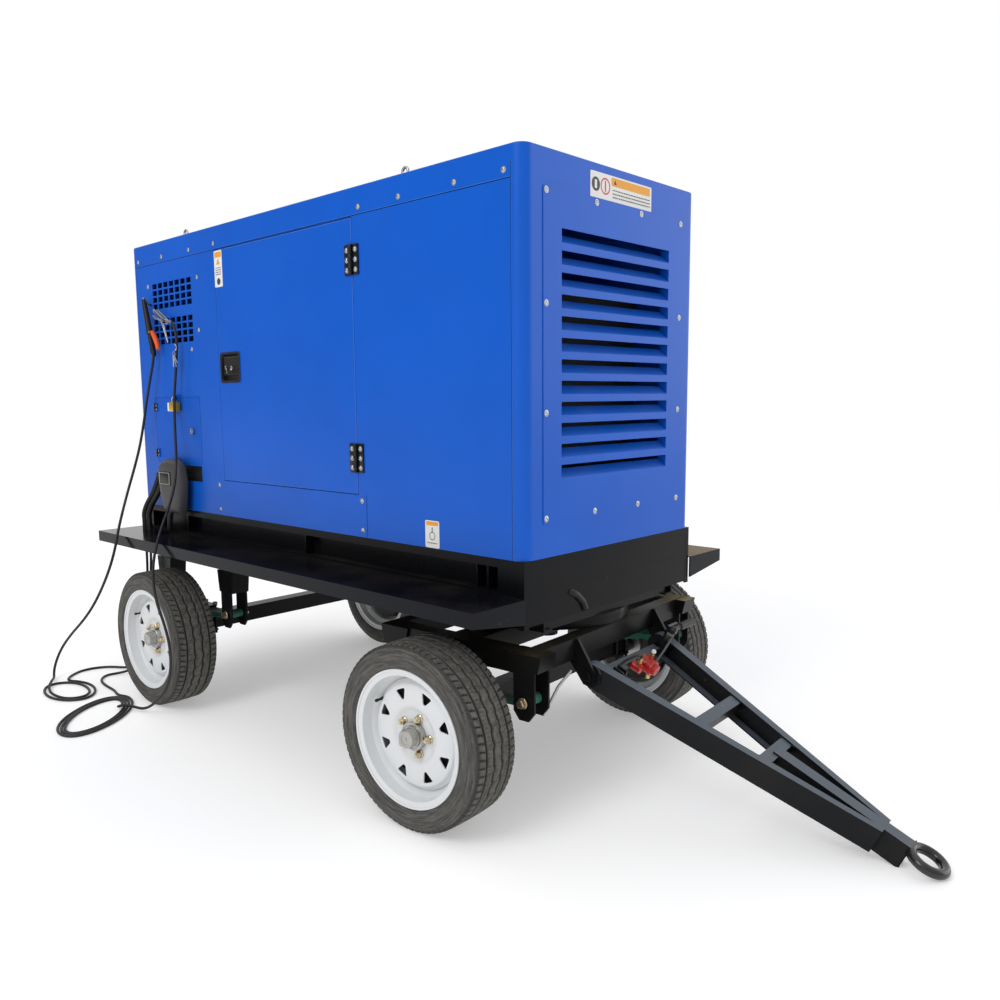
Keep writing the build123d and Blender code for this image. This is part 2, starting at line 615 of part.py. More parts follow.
def drawbar_lug(side):
    """A plate welded to the bogie's front cross-member that carries one drawbar pin."""
    y0, y1 = side * (hinge_half_width + 2), side * (hinge_half_width + 14)
    low = bogie_top - bogie_depth
    plate = extruded(
        [(270, bogie_top - 4), (312, bogie_top - 4), (hinge_ahead + 26, hinge_z + 14),
         (hinge_ahead + 26, hinge_z - 18), (hinge_ahead + 8, hinge_z - 30), (hinge_ahead - 16, hinge_z - 30),
         (270, low + 4)],
        min(y0, y1), max(y0, y1),
    )
    pin = rod((hinge_ahead, side * (hinge_half_width - drawbar_flange + 3), hinge_z),
              (hinge_ahead, side * (hinge_half_width + 22), hinge_z), drawbar_pin)
    return [plate, pin]


def bogie_frame():
    z0, z1 = bogie_top - bogie_depth, bogie_top
    pieces = []
    for side in (-1, 1):
        pieces.append(block(-340, 300, side * (spring_y - 32), side * (spring_y + 32), z0, z1))
        pieces += drawbar_lug(side)
        for x in (-spring_half, spring_half):
            pieces.append(hanger(x, side * spring_y, z1 - 2))
    for x0, x1 in ((-340, -285), (-60, 60), (252, 304)):
        pieces.append(block(x0, x1, -spring_y, spring_y, z0, z1))
    race = Pos(0, 0, (z1 + ring_split - ring_gap) / 2) * Cylinder(ring_radius, ring_split - ring_gap - z1)
    race = race - Pos(0, 0, z1) * Cylinder(ring_bore, 80)
    pieces.append(race)
    bore = Pos(0, 0, (z0 + z1) / 2) * Cylinder(kingpin_radius + running_fit, bogie_depth + 60)
    return steered(fused(*pieces) - bore)


# ---------------------------------------------------------------- springs, axles, wheels
def leaf_spring(x, y):
    """A pack of five leaves from eye to eye, with the longest on top."""
    y0, y1 = y - spring_width / 2, y + spring_width / 2
    thick, sag = 7, 8
    seat = axle_beam_z + axle_beam / 2
    leaves = []
    for index, half in enumerate([spring_half - less for less in (6, 40, 95, 150, 200)]):
        top = seat + (5 - index) * thick
        rise = sag * (half / spring_half) ** 2
        ends = [(x - half, top + rise), (x + half, top + rise)]
        upper = ThreePointArc((ends[0][0], y0, ends[0][1]), (x, y0, top), (ends[1][0], y0, ends[1][1]))
        right = Line((ends[1][0], y0, ends[1][1]), (ends[1][0], y0, ends[1][1] - thick))
        lower = ThreePointArc((ends[1][0], y0, ends[1][1] - thick), (x, y0, top - thick),
                              (ends[0][0], y0, ends[0][1] - thick))
        left = Line((ends[0][0], y0, ends[0][1] - thick), (ends[0][0], y0, ends[0][1]))
        leaves.append(extrude(make_face(Wire([upper, right, lower, left])), amount=y1 - y0, dir=(0, 1, 0)))
    pack = fused(*leaves)
    ends = (x - spring_half, x + spring_half)
    eyes = [rod((end, y0, eye_z), (end, y1, eye_z), spring_pin + 8) for end in ends]
    bores = [rod((end, y0 - 1, eye_z), (end, y1 + 1, eye_z), spring_pin + running_fit) for end in ends]
    return fused(pack, *eyes) - bores


def leaf_springs(x):
    return [leaf_spring(x, side * spring_y) for side in (-1, 1)]


def axle(x):
    """Square beam, offset spindles, spring seats and U-bolts."""
    half = axle_beam / 2
    z0, z1 = axle_beam_z - half, axle_beam_z + half
    pieces = [block(x - half, x + half, -545, 545, z0, z1)]
    for side in (-1, 1):
        pieces.append(rod((x, side * 540, tyre_radius), (x, side * spindle_end, tyre_radius), spindle_radius))
        pieces.append(rod((x, side * 530, tyre_radius), (x, side * 588, tyre_radius), 30))
        plate_z = z1 + 5 * 7 + 1
        y = side * spring_y
        pieces.append(block(x - half - 16, x + half + 16, y - 44, y + 44, plate_z, plate_z + 8))
        pieces.append(block(x - half - 16, x + half + 16, y - 44, y + 44, z0 - 10, z0))
        for dx in (-half - 7, half + 7):
            for dy in (-38, 38):
                pieces.append(rod((x + dx, y + dy, z0 - 22), (x + dx, y + dy, plate_z + 20), 6))
    return fused(*pieces)


def ring_of(points):
    """Turns a closed outline of (axial, radius) points about the wheel's axle."""
    wire = Polyline(*[(radius, axial, 0) for axial, radius in points], close=True)
    return revolve(make_face(wire), axis=Axis.Y)


def rim_and_disc():
    flange, seat, w = rim_flange_radius, bead_radius, rim_half_width
    barrel = ring_of([
        (-w, flange), (-w + 5.5, flange), (-w + 9.5, seat), (-50, seat), (-35, seat - 23), (20, seat - 23),
        (44, seat), (w - 9.5, seat), (w - 5.5, flange), (w, flange), (w, flange - 6), (w - 8, seat - 5),
        (46, seat - 5), (22, seat - 28), (-37, seat - 28), (-52, seat - 5), (-w + 8, seat - 5),
        (-w, flange - 6),
    ])
    disc = ring_of([
        (14, seat - 27), (22, seat - 27), (46, 142), (48, 128), (46, 112), (40, 96), (40, hub_bore),
        (34, hub_bore), (34, 98), (40, 114), (42, 128), (40, 140),
    ])
    windows = []
    for index in range(8):
        wire = Polyline((112, 0, 0), (152, 0, 22), (152, 0, -22), close=True)
        cut = extrude(make_face(wire), amount=80, dir=(0, 1, 0))
        windows.append(Rot(0, index * 45 + 22.5, 0) * cut)
    stud = Pos(nut_circle, 37, 0) * (Rot(90, 0, 0) * Cylinder(7, 20))
    studs = [Rot(0, index * 72, 0) * stud for index in range(5)]
    return fused(barrel, disc) - windows - studs


def hub_and_nuts():
    """Hub with a bored sleeve, flange and dust cap, and the five wheel nuts."""
    hub = ring_of([
        (-66, spindle_radius + running_fit), (-66, 60), (26, 60), (26, 76), (34, 76), (34, 42.5), (60, 42.5),
        (60, 34), (84, 34), (92, 24), (92, 0.01), (62, 0.01), (62, spindle_radius + running_fit),
    ])
    cap = Pos(0, 78, 0) * (Rot(90, 0, 0) * Cylinder(10, 26))
    nuts = []
    for index in range(5):
        nut = extrude(RegularPolygon(10.5, 6), amount=18)
        nut = Pos(nut_circle, 58, 0) * (Rot(90, 0, 0) * nut)
        nuts.append(Rot(0, index * 72, 0) * nut)
    return [fused(hub, cap)] + nuts


def tyre():
    r, w = tyre_radius, tyre_half_width
    bead, seat = rim_flange_radius + 1.5, bead_radius + 1
    outer = [
        Line((seat, -81, 0), (bead, -85, 0)),
        ThreePointArc((bead, -85, 0), (252, -w, 0), (r - 12, -86, 0)),
        ThreePointArc((r - 12, -86, 0), (r - 4, -82, 0), (r - 1.5, -72, 0)),
        ThreePointArc((r - 1.5, -72, 0), (r, 0, 0), (r - 1.5, 72, 0)),
        ThreePointArc((r - 1.5, 72, 0), (r - 4, 82, 0), (r - 12, 86, 0)),
        ThreePointArc((r - 12, 86, 0), (252, w, 0), (bead, 85, 0)),
        Line((bead, 85, 0), (seat, 81, 0)),
        Line((seat, 81, 0), (seat, 68, 0)),
        ThreePointArc((seat, 68, 0), (250, w - 10, 0), (r - 17, 70, 0)),
        ThreePointArc((r - 17, 70, 0), (r - 13, 0, 0), (r - 17, -70, 0)),
        ThreePointArc((r - 17, -70, 0), (250, -w + 10, 0), (seat, -68, 0)),
        Line((seat, -68, 0), (seat, -81, 0)),
    ]
    return revolve(make_face(Wire(outer)), axis=Axis.Y)


def wheel_place(shape, x, side):
    """Puts a wheel piece, drawn facing +Y about the origin, on its axle end."""
    if side < 0:
        shape = mirror(shape, about=Plane.XZ)
    return Pos(x, side * wheel_y, tyre_radius) * shape


# ---------------------------------------------------------------- drawbar
def beam_half_width(s):
    """Half width over the two side beams, s ahead of the hinge."""
    run = drawbar_length - nose_back
    return hinge_half_width + (nose_half_width - hinge_half_width) * s / run


def side_beam(side):
    """A channel with its web outside and flanges inside, tapering in to the spine."""
    depth, flange, wall = drawbar_depth / 2, drawbar_flange, drawbar_wall
    end = drawbar_length - nose_back

    def strip(inset0, inset1, z0, z1):
        points = [
            (0, hinge_half_width - inset0), (end, nose_half_width - inset0 * 0.6),
            (end, nose_half_width - inset1 * 0.6), (0, hinge_half_width - inset1),
        ]
        wire = Polyline(*[(x, side * y, z0) for x, y in points], close=True)
        return extrude(make_face(wire), amount=z1 - z0, dir=(0, 0, 1))

    web = strip(0, wall, -depth, depth)
    low = strip(0, flange, -depth, -depth + wall)
    high = strip(0, flange, depth - wall, depth)
    y0, y1 = side * (hinge_half_width - flange), side * hinge_half_width
    boss = rod((0, y0, 0), (0, y1, 0), depth)
    return fused(web, low, high, boss)


def drawbar():
    depth = drawbar_depth / 2
    pieces = [side_beam(-1), side_beam(1)]
    size = crossbar_size
    for s in crossbar_at:
        reach = beam_half_width(s) - drawbar_wall
        pieces.append(block(s - size / 2, s + size / 2, -reach, reach, depth - size - 6, depth - 6))
    spine = block(spine_start, drawbar_length, -spine_width / 2, spine_width / 2, -depth, depth)
    spine = spine - block(spine_start + 5, drawbar_length - 30, -spine_width / 2 + 5, spine_width / 2 - 5,
                          -depth + 5, depth - 5)
    root_reach = hinge_half_width - drawbar_flange + 4
    pieces += [spine, block(-15, 15, -root_reach, root_reach, -36, -6)]
    bracket = block(lever_s - 16, lever_s - 6, lever_y - 22, lever_y + 40, depth - 6, lever_up + 16)
    quadrant = block(lever_s - 16, lever_s - 6, lever_y + 40, lever_y + 62, depth - 6, lever_up - 20)
    pivot = rod((lever_s - 10, lever_y, lever_up), (lever_s + 16, lever_y, lever_up), lever_pin)
    near, far = hinge_half_width - drawbar_flange - 2, hinge_half_width + 1
    bores = [rod((0, side * far, 0), (0, side * near, 0), drawbar_pin + running_fit) for side in (-1, 1)]
    return pitched(fused(*pieces, bracket, quadrant, pivot) - bores)


def brake_lever():
    """Hand lever: a bored boss, a flat arm and a rubber grip at its end."""
    boss = rod((lever_s - 5.5, lever_y, lever_up), (lever_s + 9, lever_y, lever_up), 15)
    arm = block(lever_s - 5.5, lever_s + 3, lever_y, lever_y + 60, lever_up - 10, lever_up + 10)
    grip = rod((lever_s - 1, lever_y + 55, lever_up), (lever_s - 1, lever_y + 160, lever_up), 14)
    bore = rod((lever_s - 8, lever_y, lever_up), (lever_s + 12, lever_y, lever_up), lever_pin + running_fit)
    return pitched(fused(boss, arm, grip) - bore)


def brake_cylinder():
    """Brake cylinder with its cap, feed fitting and clevis, on the root crossbar."""
    body = rod((15, 75, -21), (70, 75, -21), 27)
    cap = rod((70, 75, -21), (84, 75, -21), 20)
    fitting = rod((45, 75, 2), (45, 75, 22), 7)
    second = rod((15, 18, -21), (52, 18, -21), 16)
    return [pitched(fused(body, cap, fitting)), pitched(second)]


def tow_eye():
    """Round bar bent to a ring with a worn inner band, and two legs welded to the end of the spine."""
    flat = math.sqrt(tow_bar ** 2 - (tow_ring - tow_band) ** 2)
    outline = Wire([
        Line((tow_band, 0, -flat), (tow_band, 0, flat)),
        ThreePointArc((tow_band, 0, flat), (tow_ring + tow_bar, 0, 0), (tow_band, 0, -flat)),
    ])
    ring = Pos(drawbar_length + tow_offset, 0, tow_drop) * revolve(make_face(outline), axis=Axis.Z)
    legs = []
    for side in (-1, 1):
        start = (drawbar_length, side * (tow_bar + 2), tow_drop)
        end = (drawbar_length + tow_offset - tow_ring * 0.77, side * tow_ring * 0.64, tow_drop)
        legs.append(rod(start, end, tow_bar - 2))
    eye = fused(ring, *legs) - block(drawbar_length - 40, drawbar_length, -80, 80, 0, 60)
    band = Pos(drawbar_length + tow_offset, 0, tow_drop) * Cylinder(tow_band, 4 * tow_bar)
    return pitched(eye - band)


# ---------------------------------------------------------------- welding tools and leads
lead_radius = 6
holder_tip, holder_tail = (-1600, -515, 1827), (-1527, -515, 1560)
lever_top, lever_end = (-1535, -515, 1671), (-1484, -515, 1590)


def along(start, end, share):
    return tuple(a + (b - a) * share for a, b in zip(start, end))


def electrode_holder():
    """Insulated head and handle of the electrode holder, hooked on the inlet grid."""
    head = rod(holder_tip, along(holder_tip, holder_tail, 0.55), 15)
    handle = rod(along(holder_tip, holder_tail, 0.5), holder_tail, 12)
    hook = rod(along(holder_tip, holder_tail, 0.08), (holder_tip[0] + 8, -half_width - 0.3, 1806), 4)
    neck = along(holder_tip, holder_tail, 0.6)
    ears = [rod((neck[0], y, neck[2]), (lever_top[0], y, lever_top[2]), 4) for y in (-526, -504)]
    pin = rod((lever_top[0], -528, lever_top[2]), (lever_top[0], -502, lever_top[2]), 3)
    return fused(head, handle, hook, pin, *ears)


def holder_lever():
    """The orange squeeze lever, pivoted beside the handle."""
    boss = rod((lever_top[0], -520.5, lever_top[2]), (lever_top[0], -509.5, lever_top[2]), 7.5)
    bore = rod((lever_top[0], -530, lever_top[2]), (lever_top[0], -500, lever_top[2]), 3 + running_fit)
    return fused(rod(lever_top, lever_end, 7), boss) - bore


clamp_nose, clamp_pivot = (-1500, -511, 1766), (-1400, -511, 1712)


def earth_clamp():
    """The clamp's cable arm: jaw, body round the spring, and the lug that takes the lead."""
    jaw = rod(clamp_nose, clamp_pivot, 6)
    body = rod((clamp_pivot[0], -525.7, clamp_pivot[2]), (clamp_pivot[0], -497, clamp_pivot[2]), 13)
    arm = rod(clamp_pivot, (-1337, -515, 1703), 7)
    pin = rod((clamp_pivot[0], -536, clamp_pivot[2]), (clamp_pivot[0], -half_width - 0.3, clamp_pivot[2]), 4)
    return fused(jaw, body, arm, pin)


def clamp_jaw():
    """The moving arm: its lower jaw and the long handle, bored for the pivot."""
    x, z = clamp_pivot[0], clamp_pivot[2]
    plate = rod((x, -534, z), (x, -526, z), 14)
    jaw = rod((x, -531.3, z), (-1484, -531.3, 1742), 5)
    handle = rod((x, -531.3, z), (-1352, -531.3, 1612), 5)
    bore = rod((x, -540, z), (x, -520, z), 4 + running_fit)
    return fused(plate, jaw, handle) - bore


def hand_shield():
    """Welder's face shield hanging in front of the cable slot: a shallow shell with a window frame."""
    x, y, z = -1375, -half_width - 50, 960
    shell = extruded([(x - 110, z + 100), (x - 60, z + 125), (x + 70, z + 125), (x + 105, z + 95),
                      (x + 80, z - 125), (x - 60, z - 130)], y - 22, y + 22)
    inner = extruded([(x - 102, z + 92), (x - 56, z + 117), (x + 66, z + 117), (x + 97, z + 89),
                      (x + 73, z - 117), (x - 54, z - 122)], y - 16, y + 23)
    window = block(x - 62, x + 30, y - 26, y - 16, z + 20, z + 76)
    hook = block(x - 6, x + 6, y + 14, -half_width - 0.3, z + 112, z + 118)
    return [fused(shell - inner, window, hook)]


electrode_drop = [
    holder_tail, (-1552, -524, 1475), (-1590, -530, 1370), (-1618, -538, 1262), (-1645, -550, 1150),
    (-1664, -575, 1042), (-1656, -618, 935), (-1612, -672, 838), (-1545, -728, 762), (-1512, -765, 672),
    (-1528, -792, 578), (-1578, -810, 488), (-1648, -825, 400), (-1738, -840, 318), (-1846, -855, 240),
    (-1930, -870, 165), (-1975, -884, 98), (-1990, -897, 40), (-1950, -912, 7), (-1885, -925, 7),
]
electrode_feed = [
    (-1655, -545, 735), (-1655, -545, 625), (-1648, -552, 500), (-1660, -560, 370), (-1664, -562, 240),
    (-1690, -566, 120), (-1752, -574, 38), (-1850, -592, 7), (-1950, -650, 7), (-1985, -755, 7),
    (-1930, -845, 7), (-1862, -880, 7),
]
earth_drop = [
    (-1337, -515, 1703), (-1308, -515, 1660), (-1306, -515, 1590), (-1322, -517, 1490),
    (-1348, -520, 1360), (-1340, -528, 1218), (-1275, -562, 1092), (-1222, -602, 985),
    (-1202, -645, 890), (-1180, -704, 790), (-1140, -758, 694), (-1104, -788, 606), (-1060, -800, 512),
    (-995, -802, 430), (-955, -802, 345), (-952, -802, 256), (-978, -802, 176), (-1036, -804, 108),
    (-1110, -810, 52), (-1180, -822, 14), (-1240, -846, 7), (-1292, -886, 7),
]
earth_feed = [
    (-1610, -545, 735), (-1610, -545, 625), (-1616, -552, 500), (-1606, -560, 370), (-1612, -566, 240),
    (-1640, -578, 125), (-1700, -600, 45), (-1790, -640, 7), (-1815, -720, 7), (-1745, -775, 7),
    (-1640, -790, 7), (-1540, -785, 7), (-1440, -815, 7),
]
coils = {
    "electrode": dict(at=(-1710, -940), outer=(190, 122), inner=(118, 58), turn=0, height=30),
    "earth": dict(at=(-1290, -990), outer=(262, 140), inner=(188, 72), turn=-47, height=42),
}


def lead_tube(name, route):
    """A lead along its route: straight runs joined by arcs as large as the runs allow."""
    points = [Vector(*p) for p in route]
    runs = [b - a for a, b in zip(points, points[1:])]
    radii = []
    for before, after in zip(runs, runs[1:]):
        half_turn = math.radians(before.get_angle(after)) / 2
        radii.append(0.45 * min(before.length, after.length) / math.tan(half_turn))
    path = FilletPolyline(*route, radius=radii)
    tube = sweep(Plane(origin=points[0], z_dir=runs[0].normalized()) * Circle(lead_radius), path=path)
    section = math.pi * lead_radius ** 2
    print(name, "length", round(path.length), "volume ratio", round(tube.volume / (section * path.length), 4))
    print("    runs", [round(run.length) for run in runs], "arc radii", [round(radius) for radius in radii])
    return tube


def lead_coil(at, outer, inner, turn, height):
    """The outer shape of a loose coil lying on the ground."""
    ring = extrude(Ellipse(*outer), amount=height) - extrude(Ellipse(*inner), amount=height)
    return Pos(at[0], at[1], 0.5) * (Rot(0, 0, turn) * ring)


# ---------------------------------------------------------------- files
fixed = {
    "chassis_frame": chassis_frame, "deck": deck, "skid_base": skid_base, "fuel_tank": fuel_tank,
    "side_panel_right": side_panel, "side_panel_left": side_panel_plain, "front_shell": front_shell,
    "rear_shell": rear_shell, "roof_cover": roof_cover, "louvre_panel": louvre_panel,
    "engine_block": engine_block, "cylinder_head": cylinder_head, "radiator": radiator,
    "air_filter": air_filter, "muffler": muffler, "alternator": alternator, "battery": battery,
    "control_panel": control_panel, "cooling_fan": cooling_fan, "turntable_ring": turntable_ring,
    "bogie_frame": bogie_frame, "drawbar": drawbar, "tow_eye": tow_eye, "brake_lever": brake_lever,
    "electrode_holder": electrode_holder, "holder_lever": holder_lever, "earth_clamp": earth_clamp,
    "clamp_jaw": clamp_jaw, "access_knob": hatch_knob, "terminal_board": terminal_board,
}
groups = {
    "inlet_grids": inlet_grids, "panel_bolts": panel_bolts, "lifting_eyes": lifting_eyes,
    "access_door": hatch, "conduits": conduits, "brake_cylinder": brake_cylinder,
    "hand_shield": hand_shield,
}
for name, make in fixed.items():
    save(name, make())
for name, make in groups.items():
    save(name, *make())

brackets = [hinge_bracket(z) for z in hinge_heights]
save("hinge_brackets", *brackets, *[mirrored(b) for b in brackets])
for side_name, place in (("right", lambda s: s), ("left", mirrored)):
    save(f"door_{side_name}", *[place(s) for s in door() + [latch_case()]])
    save(f"latch_paddle_{side_name}", place(latch_paddle()))

save("front_axle", steered(axle(0)))
save("rear_axle", axle(rear_axle_x))
save("front_springs", *[steered(s) for s in leaf_springs(0)])
save("rear_springs", *leaf_springs(rear_axle_x))
for end_name, x, turn in (("front", 0, steered), ("rear", rear_axle_x, lambda s: s)):
    for side_name, side in (("right", -1), ("left", 1)):
        save(f"tyre_{end_name}_{side_name}", turn(wheel_place(tyre(), x, side)))
        pieces = [rim_and_disc()] + hub_and_nuts()
        save(f"wheel_{end_name}_{side_name}", *[turn(wheel_place(p, x, side)) for p in pieces])

save("lead_electrode_drop", lead_tube("electrode drop", electrode_drop))
save("lead_electrode_feed", lead_tube("electrode feed", electrode_feed))
save("lead_earth_drop", lead_tube("earth drop", earth_drop))
save("lead_earth_feed", lead_tube("earth feed", earth_feed))
for name, coil in coils.items():
    save(f"lead_{name}_coil", lead_coil(**coil))
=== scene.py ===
import bpy, bmesh, json, math
from mathutils import Matrix, Vector


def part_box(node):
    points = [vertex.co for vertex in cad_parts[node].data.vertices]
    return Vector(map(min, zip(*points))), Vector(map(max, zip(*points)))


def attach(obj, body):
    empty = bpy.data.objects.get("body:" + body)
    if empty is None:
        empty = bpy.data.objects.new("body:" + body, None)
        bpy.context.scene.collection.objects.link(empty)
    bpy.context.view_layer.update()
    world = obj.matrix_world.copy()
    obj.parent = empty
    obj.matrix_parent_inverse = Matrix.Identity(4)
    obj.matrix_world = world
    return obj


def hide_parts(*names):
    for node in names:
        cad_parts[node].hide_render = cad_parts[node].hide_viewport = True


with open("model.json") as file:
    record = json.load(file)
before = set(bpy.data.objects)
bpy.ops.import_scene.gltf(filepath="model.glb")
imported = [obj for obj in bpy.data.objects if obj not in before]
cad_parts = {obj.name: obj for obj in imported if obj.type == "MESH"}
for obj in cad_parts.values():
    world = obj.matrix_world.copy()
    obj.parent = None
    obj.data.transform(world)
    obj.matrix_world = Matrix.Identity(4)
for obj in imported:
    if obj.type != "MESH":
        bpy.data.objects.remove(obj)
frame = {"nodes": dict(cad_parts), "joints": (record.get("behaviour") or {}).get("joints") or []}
nodes, joints = frame["nodes"], {joint["name"]: joint for joint in frame["joints"]}
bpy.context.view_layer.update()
print("frame loaded:", len(nodes), "nodes")

# where the bogie and the drawbar stand at rest
swingAxis = joints["drawbar_pitch"]["axis"]
hingePoint = Vector(joints["drawbar_pitch"]["pos_m"])
leverAxis = joints["brake_lever_pull"]["axis"]
steerAngle = math.atan2(-swingAxis[0], swingAxis[1])
pitchAngle = math.asin(-leverAxis[2])
kingpin = Vector(joints["front_steer"]["pos_m"])
bogieFrame = Matrix.Translation((kingpin.x, kingpin.y, 0)) @ Matrix.Rotation(steerAngle, 4, "Z")
barFrame = Matrix.Translation(hingePoint) @ Matrix.Rotation(steerAngle, 4, "Z") @ Matrix.Rotation(pitchAngle,
                                                                                                  4, "Y")

# camera
view = dict(place=(2.409, -2.468, 1.342), yaw=43.88, down=7.22, roll=-0.64, lens=31.37, shiftX=0.027, shiftY=0.010)
camera = bpy.data.objects.new("camera", bpy.data.cameras.new("camera"))
bpy.context.scene.collection.objects.link(camera)
camera.matrix_world = (
    Matrix.Translation(view["place"]) @ Matrix.Rotation(math.radians(view["yaw"]), 4, "Z")
    @ Matrix.Rotation(math.radians(90 - view["down"]), 4, "X") @ Matrix.Rotation(math.radians(view["roll"]),
                                                                                 4, "Z")
)
camera.data.lens, camera.data.sensor_width = view["lens"], 36
camera.data.shift_x, camera.data.shift_y = view["shiftX"], view["shiftY"]
camera.data.clip_end = 60
bpy.context.scene.camera = camera


# helpers for nodes
def addNode(tree, kind, at=(0, 0), **values):
    node = tree.nodes.new(kind)
    node.location = at
    for name, value in values.items():
        setattr(node, name, value)
    return node


def newGroup(name, inputs, outputs):
    tree = bpy.data.node_groups.new(name, "ShaderNodeTree")
    for socket, kind, value in inputs:
        made = tree.interface.new_socket(socket, in_out="INPUT", socket_type=kind)
        if value is not None:
            made.default_value = value
    for socket, kind in outputs:
        tree.interface.new_socket(socket, in_out="OUTPUT", socket_type=kind)
    return tree, addNode(tree, "NodeGroupInput", (-900, 0)), addNode(tree, "NodeGroupOutput", (900, 0))


def noiseMask(tree, links, vector, scale, detail, low, high, at):
    noise = addNode(tree, "ShaderNodeTexNoise", at)
    noise.inputs["Detail"].default_value = detail
    if isinstance(scale, float):
        noise.inputs["Scale"].default_value = scale
    else:
        links.new(scale, noise.inputs["Scale"])
    links.new(vector, noise.inputs["Vector"])
    ramp = addNode(tree, "ShaderNodeMapRange", (at[0] + 180, at[1]), interpolation_type="SMOOTHSTEP")
    ramp.inputs["From Min"].default_value, ramp.inputs["From Max"].default_value = low, high
    links.new(noise.outputs["Fac"], ramp.inputs["Value"])
    return ramp.outputs["Result"]


def settledDust():
    # dust that lies on upward faces, thicker in patches
    tree, start, end = newGroup(
        "settledDust",
        [("Colour", "NodeSocketColor", (0.5, 0.5, 0.5, 1)), ("Dust Colour", "NodeSocketColor", (0.4, 0.33,
                                                                                                0.25, 1)),
         ("On Top", "NodeSocketFloat", 0.4), ("All Over", "NodeSocketFloat", 0.05),
         ("Roughness", "NodeSocketFloat", 0.3)],
        [("Colour", "NodeSocketColor"), ("Roughness", "NodeSocketFloat"), ("Mask", "NodeSocketFloat")],
    )
    links = tree.links
    place = addNode(tree, "ShaderNodeTexCoord", (-900, 300))
    split = addNode(tree, "ShaderNodeSeparateXYZ", (-700, 300))
    links.new(place.outputs["Normal"], split.inputs[0])
    up = addNode(tree, "ShaderNodeMapRange", (-520, 300), interpolation_type="SMOOTHSTEP")
    up.inputs["From Min"].default_value, up.inputs["From Max"].default_value = 0.35, 0.95
    links.new(split.outputs["Z"], up.inputs["Value"])
    patches = noiseMask(tree, links, place.outputs["Object"], 5.0, 8.0, 0.35, 0.72, (-700, 80))
    fine = noiseMask(tree, links, place.outputs["Object"], 90.0, 5.0, 0.3, 0.75, (-700, -160))
    blend = addNode(tree, "ShaderNodeMath", (-300, 80), operation="MULTIPLY_ADD")
    links.new(fine, blend.inputs[0])
    blend.inputs[1].default_value = 0.4
    links.new(patches, blend.inputs[2])
    onTop = addNode(tree, "ShaderNodeMath", (-300, 300), operation="MULTIPLY")
    links.new(up.outputs["Result"], onTop.inputs[0])
    links.new(start.outputs["On Top"], onTop.inputs[1])
    total = addNode(tree, "ShaderNodeMath", (-120, 300), operation="ADD")
    links.new(onTop.outputs[0], total.inputs[0])
    links.new(start.outputs["All Over"], total.inputs[1])
    mask = addNode(tree, "ShaderNodeMath", (60, 200), operation="MULTIPLY", use_clamp=True)
    links.new(total.outputs[0], mask.inputs[0])
    links.new(blend.outputs[0], mask.inputs[1])
    tint = addNode(tree, "ShaderNodeMix", (300, 200), data_type="RGBA")
    links.new(mask.outputs[0], tint.inputs["Factor"])
    links.new(start.outputs["Colour"], tint.inputs[6])
    links.new(start.outputs["Dust Colour"], tint.inputs[7])
    rough = addNode(tree, "ShaderNodeMapRange", (300, -80))
    links.new(mask.outputs[0], rough.inputs["Value"])
    links.new(start.outputs["Roughness"], rough.inputs["To Min"])
    rough.inputs["To Max"].default_value = 0.85
    links.new(tint.outputs[2], end.inputs["Colour"])
    links.new(rough.outputs["Result"], end.inputs["Roughness"])
    links.new(mask.outputs[0], end.inputs["Mask"])
    return tree


def paintSkin():
    # the sprayed coat: slow waves in the sheet under it, a fine orange peel, and a slight change of shade
    tree, start, end = newGroup(
        "paintSkin",
        [("Colour", "NodeSocketColor", (0.5, 0.5, 0.5, 1)), ("Peel Size", "NodeSocketFloat", 350.0),
         ("Shade", "NodeSocketFloat", 0.12)],
        [("Colour", "NodeSocketColor"), ("Height", "NodeSocketFloat")],
    )
    links = tree.links
    place = addNode(tree, "ShaderNodeTexCoord", (-900, 200))
    cloud = noiseMask(tree, links, place.outputs["Object"], 2.2, 4.0, 0.3, 0.7, (-700, 260))
    peel = noiseMask(tree, links, place.outputs["Object"], start.outputs["Peel Size"], 2.0, 0.2, 0.8, (-700, 0))
    wave = noiseMask(tree, links, place.outputs["Object"], 3.2, 1.0, 0.2, 0.8, (-700, -240))
    shade = addNode(tree, "ShaderNodeMath", (-300, 260), operation="MULTIPLY_ADD")
    links.new(cloud, shade.inputs[0])
    links.new(start.outputs["Shade"], shade.inputs[1])
    shade.inputs[2].default_value = 0.92
    tint = addNode(tree, "ShaderNodeVectorMath", (-60, 260), operation="SCALE")
    links.new(start.outputs["Colour"], tint.inputs[0])
    links.new(shade.outputs[0], tint.inputs["Scale"])
    height = addNode(tree, "ShaderNodeMath", (-60, -80), operation="MULTIPLY_ADD")
    links.new(wave, height.inputs[0])
    height.inputs[1].default_value = 5.0
    links.new(peel, height.inputs[2])
    links.new(tint.outputs[0], end.inputs["Colour"])
    links.new(height.outputs[0], end.inputs["Height"])
    return tree


